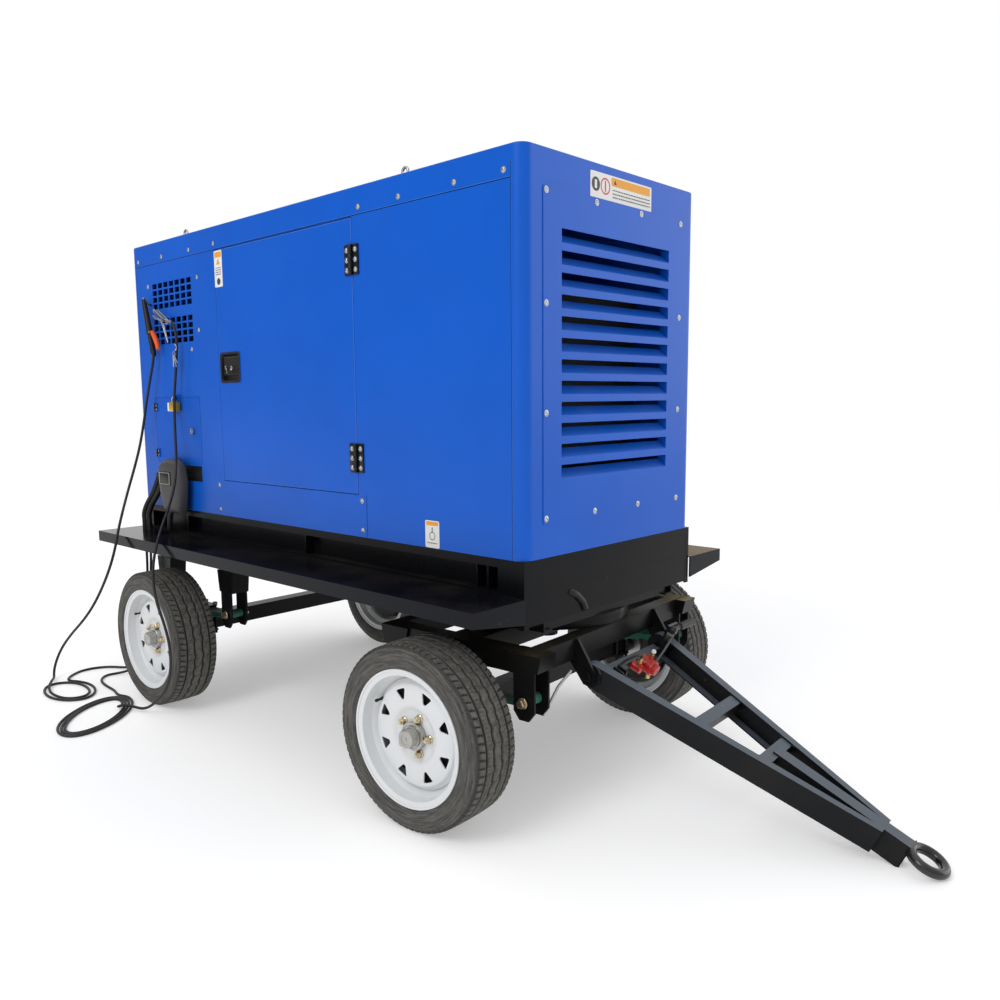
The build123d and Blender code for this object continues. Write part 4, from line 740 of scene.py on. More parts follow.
def latchSet(side, doorBody):
    # the black dish round the paddle
    skin = nearSkin if side < 0 else farSkin
    paddle = joints["paddle_right_pull"]["pos_m"]
    cx, cz = paddle[0], paddle[2] - 0.045
    dish = startMesh()
    loops = [
        (latch["wide"], latch["tall"], 0.0), (latch["wide"] - 0.002, latch["tall"] - 0.002, 0.0032),
        (latch["wide"] - 2 * latch["rim"], latch["tall"] - 2 * latch["rim"], 0.0032),
        (latch["wide"] - 2 * latch["rim"] - 0.002, latch["tall"] - 2 * latch["rim"] - 0.002, 0.001),
        (latch["wide"] - 2 * latch["rim"] - 0.004, latch["tall"] - 2 * latch["rim"] - 0.004, -0.0162),
    ]
    rings = []
    for wide, tall, out in loops:
        rings.append([dish.verts.new((cx + x, skin + side * out, cz + z))
                      for x, z in roundedLoop(wide, tall, latch["corner"] * 0.8)])
    count = len(rings[0])
    for inner, outer in zip(rings, rings[1:]):
        for i in range(count):
            j = (i + 1) % count
            dish.faces.new((inner[i], inner[j], outer[j], outer[i]))
    dish.faces.new(rings[-1])
    finishMesh(dish, f"latchDish_{doorBody}", "blackPlastic", doorBody, 30)


latchSet(-1, "door_right")
latchSet(1, "door_left")


def paddleDress(side, body):
    # a ribbed finger plate and the lock barrel with its key and ring
    low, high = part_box("latch_" + body)
    face = low.y if side < 0 else high.y
    cx = (low.x + high.x) / 2
    ribs = startMesh()
    for i in range(5):
        z = low.z + 0.008 + i * 0.0042
        addBlock(ribs, (low.x + 0.006, min(face + side * -0.004, face + side * 0.0), z),
                 (high.x - 0.006, max(face + side * -0.004, face + side * 0.0), z + 0.0022), rounding=0.0007)
    finishMesh(ribs, f"paddleRibs_{body}", "hingeBlack", body)
    lock = startMesh()
    matrix = facing((cx, face, low.z + 0.030), (0, side, 0))
    turned(lock, [(0, -0.002), (0.0098, -0.002), (0.0098, 0.0006), (0.0085, 0.0016), (0.003, 0.0016),
                  (0.003, 0.0008),
                  (0, 0.0008)], matrix, 28)
    finishMesh(lock, f"lockBarrel_{body}", "brightZinc", body)
    if side < 0:
        key = startMesh()
        addBlock(key, (-0.0012, -0.004, 0.0), (0.0012, 0.004, 0.012), matrix, 0.0004)
        turned(key, [(0, 0.010), (0.001, 0.010), (0.001, 0.011), (0, 0.011)], matrix, 8)
        head = matrix @ Matrix.Translation((0, 0, 0.018)) @ Matrix.Rotation(math.pi / 2, 4, "Y")
        turned(key, [(0, -0.0012), (0.0095, -0.0012), (0.0102, 0), (0.0095, 0.0012), (0, 0.0012)], head, 24)
        ring = [matrix @ Vector((0.004 * math.sin(a), -0.012 + 0.011 * math.cos(a), 0.021 + 0.003 * math.sin(a)))
                for a in [2 * math.pi * i / 20 for i in range(21)]]
        tube(key, ring, 0.0007, 8)
        finishMesh(key, "latchKey", "brightZinc", body)


paddleDress(-1, "paddle_right")
paddleDress(1, "paddle_left")


def label(name, centre, wide, tall, normal, up, blocks, body="trailer"):
    # a sticker with a border and plain coloured fields, and no lettering
    z = Vector(normal).normalized()
    y = Vector(up).normalized()
    x = y.cross(z)
    base = Matrix((x, y, z)).transposed().to_4x4()
    base.translation = Vector(centre)
    sheet = startMesh()
    ring = [base @ Vector((px, py, 0.0006)) for px, py in roundedLoop(wide, tall, 0.006, 4)]
    sheet.faces.new([sheet.verts.new(p) for p in ring])
    finishMesh(sheet, name, "labelWhite", body)
    for index, (kind, px, py, sx, sy, colour) in enumerate(blocks):
        field = startMesh()
        lift = 0.0009 + 0.00004 * index
        if kind == "disc":
            turned(field, [(0, lift), (sx, lift)], base @ Matrix.Translation((px, py, 0)), 28)
        elif kind == "ring":
            turned(field, [(sx * 0.82, lift), (sx, lift)], base @ Matrix.Translation((px, py, 0)), 28)
        elif kind == "triangle":
            field.faces.new([field.verts.new(base @ Vector((px + sx * math.sin(a), py + sx * math.cos(a), lift)))
                             for a in (0, math.radians(120), math.radians(240))])
        else:
            field.faces.new([field.verts.new(base @ Vector((px + i * sx / 2, py + j * sy / 2, lift)))
                             for i, j in ((-1, -1), (1, -1), (1, 1), (-1, 1))])
        finishMesh(field, f"{name}Field{index}", colour, body)


def textLines(left, right, top, rows, step, thick):
    # rows of small bars that stand for unreadable print
    bars = []
    for row in range(rows):
        x = left
        index = 0
        while x < right - 0.006:
            width = 0.006 + 0.005 * ((row * 7 + index * 5) % 4) / 3
            bars.append(("bar", x + width / 2, top - row * step, width, thick, "labelGrey"))
            x += width + 0.0025
            index += 1
    return bars


label("frontSticker", (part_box("front_shell")[1].x, 0.015, 2.010), 0.350, 0.085, (1, 0, 0), (0, 0, 1),
      [("bar", 0.052, 0.024, 0.225, 0.026, "labelOrange"), ("triangle", -0.040, 0.022, 0.010, 0.010, "labelGrey"),
       ("ring", -0.094, 0.004, 0.026, 0, "labelRed"), ("bar", -0.094, 0.004, 0.006, 0.034, "labelRed"),
       ("disc", -0.146, 0.004, 0.022, 0, "labelGrey"), ("bar", -0.146, 0.004, 0.012, 0.026, "labelWhite")]
      + textLines(-0.055, 0.165, -0.002, 3, 0.011, 0.003))
label("doorSticker", (-0.971, nearSkin, 1.9005), 0.062, 0.150, (0, -1, 0), (0, 0, 1),
      [("bar", 0, 0.058, 0.052, 0.022, "labelOrange"), ("triangle", 0, 0.026, 0.017, 0, "labelOrange"),
       ("disc", 0, -0.052, 0.014, 0, "labelGrey")] + textLines(-0.022, 0.024, 0.004, 4, 0.009, 0.003))
label("hookSticker", (0.3125, nearSkin, 0.8965), 0.068, 0.092, (0, -1, 0), (0, 0, 1),
      [("bar", 0, 0.036, 0.058, 0.013, "labelOrange"), ("ring", 0, -0.006, 0.014, 0, "labelGrey"),
       ("bar", 0.0, 0.014, 0.004, 0.018, "labelGrey")] + textLines(-0.026, 0.026, -0.030, 1, 0.008, 0.003))


def padlock():
    # a laminated padlock through the hatch's hasp
    work = startMesh()
    low = Vector((-1.408, nearSkin - 0.032, 1.302))
    addBlock(work, low, low + Vector((0.060, 0.026, 0.044)), rounding=0.004)
    finishMesh(work, "padlockBody", "yellow", "trailer")
    sides = startMesh()
    addBlock(sides, low + Vector((-0.018, 0.002, 0.002)), low + Vector((0.022, 0.024, 0.042)), rounding=0.003)
    finishMesh(sides, "padlockSleeve", "labelWhite", "trailer")
    bow = startMesh()
    centre = low + Vector((0.026, 0.013, 0.042))
    line = [centre + Vector((0.016 * math.cos(a), 0, 0.016 * math.sin(a) + 0.010)) for a in
            [math.pi * i / 14 for i in range(15)]]
    tube(bow, [centre + Vector((0.016, 0, -0.006))] + line + [centre + Vector((-0.016, 0, -0.006))], 0.0035, 12)
    finishMesh(bow, "padlockBow", "brightZinc", "trailer")
    hasp = startMesh()
    addBlock(hasp, (centre.x - 0.006, nearSkin - 0.020, centre.z + 0.012),
             (centre.x + 0.006, nearSkin, centre.z + 0.034),
             rounding=0.002)
    addBlock(hasp, (centre.x - 0.020, nearSkin - 0.003, centre.z + 0.008),
             (centre.x + 0.020, nearSkin, centre.z + 0.038), rounding=0.001)
    finishMesh(hasp, "hatchHasp", "hatchBlue", "trailer")


padlock()


seams = dict(roof=1.984, wide=0.0026, proud=0.0005, postX=(-0.0285,), bottom=0.849, doorLong=0.9225,
             doorGap=0.0015,
             hatchHinges=(1.106, 1.322))


def seamLines():
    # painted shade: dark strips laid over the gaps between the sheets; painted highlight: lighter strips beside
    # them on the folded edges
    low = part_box("roof_cover")[0]
    top, foot = seams["roof"], seams["bottom"]
    half, out = seams["wide"] / 2, seams["proud"]
    frontEnd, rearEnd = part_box("front_shell")[1].x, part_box("rear_shell")[0].x
    dark, light = startMesh(), startMesh()
    for skin, side in ((nearSkin, -1), (farSkin, 1)):
        a, b = sorted((skin, skin + side * out))
        addBlock(dark, (rearEnd + 0.045, a, top - half), (frontEnd - 0.047, b, top + half))
        addBlock(light, (rearEnd + 0.045, a, top + half), (frontEnd - 0.047, b, top + half + 0.0016))
        for x in (frontEnd - 0.046, rearEnd + 0.046):
            addBlock(dark, (x - half * 0.8, a, foot), (x + half * 0.8, b, low.z + 0.05))
            addBlock(light, (x + half * 0.8, a, foot), (x + half * 0.8 + 0.0014, b, low.z + 0.05))
        for x in seams["postX"]:
            addBlock(dark, (x - half * 0.6, a, foot), (x + half * 0.6, b, 1.004))
    finishMesh(dark, "sheetSeams", "seamBlue", "trailer")
    finishMesh(light, "sheetEdges", "edgeBlue", "trailer")
    pivot = joints["door_right_swing"]["pos_m"][0]
    left, right = pivot - seams["doorLong"], pivot - seams["doorGap"]
    for side, body in ((-1, "door_right"), (1, "door_left")):
        skin = nearSkin if side < 0 else farSkin
        # painted highlight: thin lighter-blue tubes along the door edges
        rolled = startMesh()
        for x in (left + 0.0008, right - 0.0008):
            tube(rolled, [(x, skin - side * 0.0006, 1.008), (x, skin - side * 0.0006, 1.976)], 0.0011, 8)
        for z in (1.0075, 1.9765):
            tube(rolled, [(left + 0.001, skin - side * 0.0006, z), (right - 0.001, skin - side * 0.0006, z)],
                 0.0009, 8)
        finishMesh(rolled, f"doorEdgeHighlights_{body}", "edgeBlue", body)
    plates = startMesh()
    for z in seams["hatchHinges"]:
        addBlock(plates, (-1.611, nearSkin - 0.005, z - 0.017), (-1.579, nearSkin, z + 0.017), rounding=0.0015)
        tube(plates, [(-1.5995, nearSkin - 0.005, z - 0.018), (-1.5995, nearSkin - 0.005, z + 0.018)], 0.0042, 14)
    finishMesh(plates, "hatchHinges", "hingeBlack", "trailer")
    rivets = startMesh()
    for z in seams["hatchHinges"]:
        for x, dz in ((-1.606, 0.009), (-1.606, -0.009), (-1.586, 0.009), (-1.586, -0.009)):
            addDome(rivets, facing((x, nearSkin - 0.005, z + dz), (0, -1, 0)), 0.0035, 0.002)
    finishMesh(rivets, "hatchRivets", "brightZinc", "trailer")


seamLines()
print("canopy hardware done")

# wheels
wheel = dict(half=0.098, segments=600, grooves=(-0.054, -0.019, 0.019, 0.054),
             grooveWide=0.0075, grooveDeep=0.0075, blocks=75, sipeDeep=0.0045, shoulder=0.060)


def smoothStep(value, low, high):
    share = min(1, max(0, (value - low) / (high - low)))
    return share * share * (3 - 2 * share)


def tyreOutline():
    # half section from bead to bead: (radius, across, is tread)
    points = []
    half = wheel["half"]
    for i in range(17):
        share = i / 16
        radius = 0.2215 + (0.2890 - 0.2215) * share
        bulge = half * (0.868 + 0.132 * math.sin(math.pi * min(1, share * 0.94 + 0.02)) ** 0.8)
        ridge = 0.0016 * (1 if i in (3, 8, 9, 13) else 0)
        points.append((radius, -bulge - ridge, False))
    for across, radius in ((-0.0865, 0.2925), (-0.0835, 0.2955)):
        points.append((radius, across, False))
    for i in range(45):
        across = -0.0810 + 0.1620 * i / 44
        points.append((0.3000 - 0.0022 * (abs(across) / 0.081) ** 2.2, across, True))
    points += [(radius, -across, tread) for radius, across, tread in reversed(points[:19])]
    inner = [(0.2040, 0.0800), (0.2040, 0.0670), (0.2250, 0.0800), (0.2540, 0.0880), (0.2830, 0.0700), (0.2870, 0),
             (0.2830, -0.0700), (0.2540, -0.0880), (0.2250, -0.0800), (0.2040, -0.0670), (0.2040, -0.0800)]
    return points, inner


def tyreMesh():
    points, inner = tyreOutline()
    work = startMesh()
    count = wheel["segments"]
    rings = []
    for step in range(count):
        angle = 2 * math.pi * step / count
        cos, sin = math.cos(angle), math.sin(angle)
        ring = []
        for radius, across, tread in points:
            if tread:
                deep = 0
                for groove in wheel["grooves"]:
                    wave = 0.0022 * math.sin(angle * wheel["blocks"] * 0.5) if abs(groove) < 0.03 else 0
                    gap = abs(across - groove - wave) - wheel["grooveWide"] / 2
                    deep = max(deep, wheel["grooveDeep"] * (1 - smoothStep(gap, -0.0010, 0.0012)))
                turn = (angle * wheel["blocks"] / (2 * math.pi) + across * (9 if across > 0 else -9)) % 1
                if abs(across) > wheel["shoulder"]:
                    deep = max(deep, wheel["sipeDeep"] * (1 - smoothStep(abs(turn - 0.5), 0.07, 0.13)))
                elif 0.024 < abs(across) < 0.050:
                    half = (turn * 2) % 1
                    cut = 1 - smoothStep(abs(half - 0.5), 0.06, 0.14)
                    deep = max(deep, 0.0026 * cut * (1 if abs(across) > 0.030 else 0.4))
                elif abs(across) < 0.011:
                    deep = max(deep, 0.0020 * (1 - smoothStep(abs(turn - 0.5), 0.05, 0.10)))
                radius -= deep
            elif 0.278 < radius < 0.2960:
                turn = (angle * wheel["blocks"] / (2 * math.pi) + abs(across) * 9) % 1
                radius -= 0.0030 * (1 - smoothStep(abs(turn - 0.5), 0.10, 0.18))
            ring.append(work.verts.new((radius * cos, across, radius * sin)))
        for radius, across in inner:
            ring.append(work.verts.new((radius * cos, across, radius * sin)))
        rings.append(ring)
    around = len(rings[0])
    for step in range(count):
        here, there = rings[step], rings[(step + 1) % count]
        for i in range(around):
            j = (i + 1) % around
            work.faces.new((here[i], there[i], there[j], here[j]))
    return meshData(work, "tyre")


def wheelPlace(end, side):
    spin = joints[f"{end}_{side}_spin"]
    turn = Matrix.Rotation(steerAngle, 4, "Z") if end == "front" else Matrix()
    flip = Matrix.Rotation(math.pi, 4, "X") if side == "right" else Matrix()
    return Matrix.Translation(spin["pos_m"]) @ turn @ flip


def placed(name, data, finishName, body, matrix, smooth=35):
    if finishName:
        data.materials.clear()
        data.materials.append(finish[finishName])
    for polygon in data.polygons:
        polygon.use_smooth = True
    data.set_sharp_from_angle(angle=math.radians(smooth))
    piece = bpy.data.objects.new(name, data)
    bpy.context.scene.collection.objects.link(piece)
    piece.matrix_world = matrix
    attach(piece, body)
    return piece


def hubMesh():
    # bearing boss with a pressed grease cap
    work = startMesh()
    out = Matrix.Rotation(-math.pi / 2, 4, "X")
    turned(work, [(0.0425, 0.030), (0.0465, 0.048), (0.0465, 0.0575), (0.0450, 0.0600), (0.0395, 0.0600),
                  (0.0390, 0.0580),
                  (0.0350, 0.0580), (0.0345, 0.0620), (0.0338, 0.0635), (0.0305, 0.0640), (0.0300, 0.0655),
                  (0.0298, 0.0850), (0.0288, 0.0880), (0.0262, 0.0895), (0.0170, 0.0898), (0.0165, 0.0885),
                  (0.0060, 0.0885), (0.0055, 0.0900), (0, 0.0902)], out, 56)
    turned(work, [(0.0200, -0.066), (0.0600, -0.066), (0.0600, 0.026), (0.0700, 0.030), (0.0425, 0.032)], out, 48)
    return meshData(work, "hubCap")


def drumMesh():
    # brake drum seen dark through the disc's windows
    work = startMesh()
    out = Matrix.Rotation(-math.pi / 2, 4, "X")
    turned(work, [(0.060, -0.040), (0.150, -0.040), (0.158, -0.034), (0.158, 0.006), (0.164, 0.008),
                  (0.164, 0.014),
                  (0.155, 0.018), (0.120, 0.022), (0.060, 0.024)], out, 64)
    return meshData(work, "brakeDrum")


rimShape = dict(flange=0.2205, seat=0.2035, half=0.0915, windowInner=0.117, windowOuter=0.1510, windowHalf=0.0205)


def cutWindows(data):
    # eight rounded windows through the disc, with softened edges
    cutter = startMesh()
    inner, outer, half = rimShape["windowInner"], rimShape["windowOuter"], rimShape["windowHalf"]
    outline = [(inner, -0.0035), (inner, 0.0035), (inner + 0.003, 0.0065), (outer - 0.008, half - 0.002),
               (outer - 0.004, half),
               (outer - 0.001, half - 0.003), (outer, half - 0.008), (outer, -half + 0.008), (outer - 0.001,
                                                                                              -half + 0.003),
               (outer - 0.004, -half), (outer - 0.008, -half + 0.002), (inner + 0.003, -0.0065)]
    for index in range(8):
        turn = Matrix.Rotation(math.radians(index * 45 + 22.5), 4, "Y")
        rings = [[cutter.verts.new(turn @ Vector((x, y, z))) for x, z in outline] for y in (0.005, 0.100)]
        for i in range(len(outline)):
            k = (i + 1) % len(outline)
            cutter.faces.new((rings[0][i], rings[0][k], rings[1][k], rings[1][i]))
        cutter.faces.new(list(reversed(rings[0])))
        cutter.faces.new(rings[1])
    for index in range(5):
        turn = Matrix.Rotation(math.radians(72 * index), 4, "Y") @ Matrix.Translation((0.060, 0, 0))
        turned(cutter, [(0, 0.02), (0.0075, 0.02), (0.0075, 0.06), (0, 0.06)],
               turn @ Matrix.Rotation(-math.pi / 2, 4, "X"), 20)
    bmesh.ops.recalc_face_normals(cutter, faces=cutter.faces)
    cutData = bpy.data.meshes.new("cutter")
    cutter.to_mesh(cutData)
    cutter.free()
    disc, knife = bpy.data.objects.new("discBlank", data), bpy.data.objects.new("knife", cutData)
    for item in (disc, knife):
        bpy.context.scene.collection.objects.link(item)
    cut = disc.modifiers.new("cut", "BOOLEAN")
    cut.object, cut.operation, cut.solver = knife, "DIFFERENCE", "EXACT"
    soften = disc.modifiers.new("soften", "BEVEL")
    soften.width, soften.segments, soften.limit_method, soften.angle_limit = 0.0011, 2, "ANGLE", math.radians(50)
    bpy.context.view_layer.update()
    made = bpy.data.meshes.new_from_object(disc.evaluated_get(bpy.context.evaluated_depsgraph_get()))
    for item in (disc, knife):
        bpy.data.objects.remove(item)
    return made


def rimMesh():
    # the rolled rim, and a nearly flat disc with a pressed ring round its windows
    out = Matrix.Rotation(-math.pi / 2, 4, "X")
    flange, seat, half = rimShape["flange"], rimShape["seat"], rimShape["half"]
    disc = startMesh()
    front = [(0.0430, 0.0400), (0.0560, 0.0400), (0.0750, 0.0402), (0.0820, 0.0425), (0.0880, 0.0470),
             (0.0960, 0.0492),
             (0.1060, 0.0496), (0.1240, 0.0496), (0.1600, 0.0490), (0.1640, 0.0470), (0.1670,
                                                                                      0.0420), (0.1700, 0.0380),
             (0.1745, 0.0360), (0.1790, 0.0300), (0.1800, 0.0220)]
    back = [(0.1770, 0.0220), (0.1760, 0.0285), (0.1720, 0.0325), (0.1670, 0.0345), (0.1635, 0.0400),
            (0.1600, 0.0445),
            (0.1240, 0.0455), (0.0960, 0.0452), (0.0850, 0.0420), (0.0750, 0.0362), (0.0430, 0.0360)]
    turned(disc, front + back + [front[0]], out, 144)
    bmesh.ops.remove_doubles(disc, verts=disc.verts, dist=1e-6)
    bmesh.ops.recalc_face_normals(disc, faces=disc.faces)
    discData = bpy.data.meshes.new("disc")
    disc.to_mesh(discData)
    disc.free()
    whole = startMesh()
    whole.from_mesh(cutWindows(discData))
    barrel = [(-half, flange), (-half + 0.003, flange + 0.001), (-half + 0.0055, flange),
              (-half + 0.0085, seat + 0.004),
              (-half + 0.011, seat), (-0.050, seat), (-0.045, seat - 0.003),
              (-0.037, seat - 0.021), (-0.033, seat - 0.023),
              (0.018, seat - 0.023), (0.022, seat - 0.021), (0.040, seat - 0.002), (0.044,
                                                                                    seat), (half - 0.011, seat),
              (half - 0.0085, seat + 0.004), (half - 0.0055, flange), (half - 0.003, flange + 0.001), (half,
                                                                                                       flange),
              (half + 0.0002, flange - 0.003), (half - 0.0015, flange - 0.006), (half - 0.0040, flange - 0.0062),
              (half - 0.0060, seat), (half - 0.0085, seat - 0.0045), (0.046, seat - 0.005), (0.043, seat - 0.007),
              (0.024, seat - 0.026), (0.020, seat - 0.028), (-0.036, seat - 0.028), (-0.040, seat - 0.026),
              (-0.050, seat - 0.006), (-0.054, seat - 0.005), (-half + 0.0085,
                                                               seat - 0.0045), (-half + 0.0060, seat),
              (-half + 0.0040, flange - 0.0062), (-half, flange - 0.005), (-half, flange)]
    turned(whole, [(radius, across) for across, radius in barrel], out, 144)
    bmesh.ops.remove_doubles(whole, verts=whole.verts, dist=1e-6)
    bmesh.ops.recalc_face_normals(whole, faces=whole.faces)
    data = bpy.data.meshes.new("rim")
    whole.to_mesh(data)
    whole.free()
    return data


def nutMesh():
    # five cone nuts with stud ends
    work = startMesh()
    for index in range(5):
        turn = Matrix.Rotation(math.radians(72 * index), 4, "Y") @ Matrix.Translation((0.060, 0, 0))
        out = turn @ Matrix.Rotation(-math.pi / 2, 4, "X")
        turned(work, [(0.0125, 0.0395), (0.0135, 0.0405), (0.0135, 0.0445), (0.0112, 0.0465)], out, 24)
        turned(work, [(0.0114, 0.0445), (0.0114, 0.0575), (0.0100, 0.0592), (0.0066, 0.0592)], out, 6)
        turned(work, [(0.0066, 0.0570), (0.0066, 0.0640), (0.0058, 0.0652), (0, 0.0652)], out, 16)
    return meshData(work, "wheelNuts")


def valveMesh():
    work = startMesh()
    out = Matrix.Rotation(math.radians(150), 4,
                          "Y") @ Matrix.Translation((0.172, 0, 0)) @ Matrix.Rotation(-math.pi / 2, 4, "X")
    turned(work, [(0.006, 0.030), (0.0075, 0.034), (0.0055, 0.042), (0.0042, 0.050), (0.0042, 0.058),
                  (0.0052, 0.059),
                  (0.0052, 0.068), (0.0042, 0.070), (0, 0.070)], out, 16)
    return meshData(work, "valveStem")


tyreData, hubData, nutData, valveData = tyreMesh(), hubMesh(), nutMesh(), valveMesh()
rimData, drumData = rimMesh(), drumMesh()
for end in ("front", "rear"):
    for side in ("right", "left"):
        place, body = wheelPlace(end, side), f"wheel_{end}_{side}"
        tyrePiece = placed(f"tyre_{end}_{side}_tread", tyreData, "tyreRubber", body, place, 30)
        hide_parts(f"tyre_{end}_{side}")
        rimPiece = placed(f"rim_{end}_{side}", rimData, "wheelWhite", body, place, 40)
        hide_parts(f"wheel_{end}_{side}")
        placed(f"brakeDrum_{end}_{side}", drumData, "drumGrey", body, place, 30)
        placed(f"hubCap_{end}_{side}", hubData, "steel", body, place, 30)
        placed(f"wheelNuts_{end}_{side}", nutData, "zinc", body, place, 30)
        placed(f"valve_{end}_{side}", valveData, "blackPlastic", body, place, 40)
print("wheels done")

# welding tools on the grid
tools = dict(tip=(-1.600, -0.515, 1.827), tail=(-1.527, -0.515, 1.560), leverTop=(-1.535, -0.515, 1.671),
             leverEnd=(-1.484, -0.515, 1.590), clampPivot=(-1.400, -0.511, 1.712),
             clampNose=(-1.500, -0.511, 1.766))


def alongLine(start, end, share):
    return Vector(start) + (Vector(end) - Vector(start)) * share


def electrodeHolder():
    tip, tail = tools["tip"], tools["tail"]
    work = startMesh()
    shares = [0, 0.01, 0.03, 0.10, 0.22, 0.34, 0.46, 0.56, 0.60, 0.62, 0.66, 0.74, 0.82, 0.90, 0.94, 0.97, 1.0]
    widths = [6, 9, 10.5, 11.5, 12.5, 13.5, 14.5, 15.2, 15.2, 14.0, 12.5, 12, 11.8, 12, 12.6, 11.8, 8.0]
    tube(work, [alongLine(tip, tail, s) for s in shares], [w / 1000 for w in widths], 24)
    for share in (0.665, 0.70, 0.735, 0.77, 0.805, 0.84, 0.875, 0.91):
        line = [alongLine(tip, tail, share + d) for d in (-0.008, -0.004, 0.004, 0.008)]
        tube(work, line, [0.0118, 0.0132, 0.0132, 0.0118], 24)
    tube(work, [alongLine(tip, tail, 0.02) + Vector((0.004, 0, 0.006)),
                alongLine(tip, tail, 0.10) + Vector((0.020, 0.01, 0)),
                Vector((-1.584, nearSkin - 0.001, 1.800))], 0.0035, 10)
    neck = alongLine(tip, tail, 0.6)
    for y in (-0.526, -0.504):
        tube(work, [(neck.x, y, neck.z), (tools["leverTop"][0], y, tools["leverTop"][2])], [0.007, 0.0045], 14)
    holder = finishMesh(work, "holderBody", "blackPlastic", "trailer", 50)
    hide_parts("electrode_holder")
    jaw = startMesh()
    tube(jaw, [alongLine(tip, tail, -0.012), alongLine(tip, tail, 0.05)], [0.0055, 0.0070], 16)
    addBolt(jaw, facing((tools["leverTop"][0], -0.529, tools["leverTop"][2]), (0, -1, 0)), 0.008, 0.003, 0.0055)
    finishMesh(jaw, "holderJaw", "brass", "trailer")
    return holder


def squeezeLever():
    # a curved orange lever with four grip ribs
    top, bottom = Vector(tools["leverTop"]), Vector(tools["leverEnd"])
    work = startMesh()
    line, wide = [], []
    for i in range(13):
        share = i / 12
        place = top + (bottom - top) * share + Vector((0.002 + 0.009 * math.sin(math.pi * share), 0, 0))
        line.append(place)
        wide.append(0.0070 + 0.0040 * math.sin(math.pi * min(1, 0.25 + share * 0.75)) + 0.002 * share)
    tube(work, line, wide, 20)
    tube(work, [top + Vector((0, -0.0055, 0)), top + Vector((0, 0.0055, 0))], 0.0078, 20)
    for i in range(4):
        at = alongLine(top, bottom, 0.35 + 0.14 * i) + Vector((0.0055 + 0.004, 0, 0))
        tube(work, [at + Vector((0, -0.004, 0)), at + Vector((0, 0.004, 0))], 0.0022, 10)
    lever = finishMesh(work, "squeezeLever", "leverOrange", "squeeze_lever", 50)
    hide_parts("holder_lever")
    return lever


def earthClamp():
    nose, pivot = Vector(tools["clampNose"]), Vector(tools["clampPivot"])
    lug = Vector((-1.337, -0.515, 1.703))
    work = startMesh()
    for shift in (-0.0085, 0.0085):
        tube(work, [nose + Vector((-0.004, shift * 0.5, -0.006)), nose + Vector((0.004, shift, 0.004)),
                    alongLine(nose, pivot, 0.4) + Vector((0, shift, 0.006)), pivot + Vector((0, shift, 0.004)),
                    alongLine(pivot, lug, 0.6) + Vector((0, shift * 0.6, 0.002)),
                    lug + Vector((-0.012, shift * 0.4, 0))],
             [0.003, 0.0042, 0.0046, 0.0050, 0.0042, 0.0036], 12)
    for i in range(5):
        at = alongLine(nose, pivot, 0.12 + 0.1 * i)
        tube(work, [at + Vector((0, -0.009, -0.003)), at + Vector((0, 0.009, -0.003))], 0.0032, 8)
    coil = [pivot + Vector((0.011 * math.cos(a), -0.010 + 0.0030 * a / (2 * math.pi), 0.011 * math.sin(a)))
            for a in [2 * math.pi * i / 16 for i in range(16 * 5)]]
    tube(work, coil, 0.0013, 8)
    tube(work, [pivot + Vector((0, -0.0255, 0)), pivot + Vector((0, 0.0250, 0))], 0.0040, 16)
    addBolt(work, facing(pivot + Vector((0, -0.0245, 0)), (0, -1, 0)), 0.010, 0.0035, 0.007)
    tube(work, [lug + Vector((-0.022, 0, 0.003)), lug + Vector((-0.002, 0, 0))], [0.0062, 0.0072], 16)
    clamp = finishMesh(work, "clampArm", "steel", "trailer", 45)
    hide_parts("earth_clamp")
    return clamp


def clampJaw():
    pivot = Vector((tools["clampPivot"][0], -0.5313, tools["clampPivot"][2]))
    work = startMesh()
    for shift in (-0.0028, 0.0028):
        line = [Vector((-1.484, pivot.y + shift, 1.742)), Vector((-1.455, pivot.y + shift, 1.728)),
                pivot + Vector((0, shift, 0)),
                Vector((-1.384, pivot.y + shift, 1.676)), Vector((-1.352, pivot.y + shift * 0.4, 1.612))]
        tube(work, line, [0.0022, 0.0028, 0.0030, 0.0028, 0.0024], 12)
    for i in range(4):
        at = Vector((-1.478 + 0.012 * i, pivot.y, 1.741 - 0.0052 * i))
        tube(work, [at + Vector((0, -0.005, 0)), at + Vector((0, 0.005, 0))], 0.0020, 8)
    tube(work, [pivot + Vector((0, -0.0030, 0)), pivot + Vector((0, 0.0050, 0))], 0.0120, 22)
    jaw = finishMesh(work, "clampJawArm", "steel", "clamp_jaw", 45)
    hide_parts("clamp_jaw")
    return jaw


def keyBunch():
    # spare keys tied to the earth lead with a twist of wire
    work = startMesh()
    knot = Vector((-1.320, -0.524, 1.555))
    for index, (angle, long) in enumerate(((-100, 0.052), (-72, 0.056), (-52, 0.048))):
        heading = Vector((math.cos(math.radians(angle)), 0, math.sin(math.radians(angle))))
        start = knot + Vector((0.004 * index, -0.002 * index, 0))
        tube(work, [start, start + heading * long * 0.4, start + heading * long], [0.0060, 0.0032, 0.0024], 8)
    ring = [knot + Vector((0.013 * math.cos(a), -0.002 * math.sin(2 * a), 0.013 * math.sin(a) + 0.006))
            for a in [2 * math.pi * i / 24 for i in range(25)]]
    tube(work, ring, 0.0013, 8)
    keys = finishMesh(work, "spareKeys", "brightZinc", "trailer")
    wire = startMesh()
    loop = [knot + Vector((0.010 + 0.012 * math.sin(a * 0.5), 0.002,
                           0.020 + 0.030 * (a / 6.3) + 0.004 * math.sin(3 * a)))
            for a in [6.3 * i / 20 for i in range(21)]]
    tube(wire, loop, 0.0011, 8)
    strand = finishMesh(wire, "wireTwist", "labelWhite", "trailer")
    return keys, strand


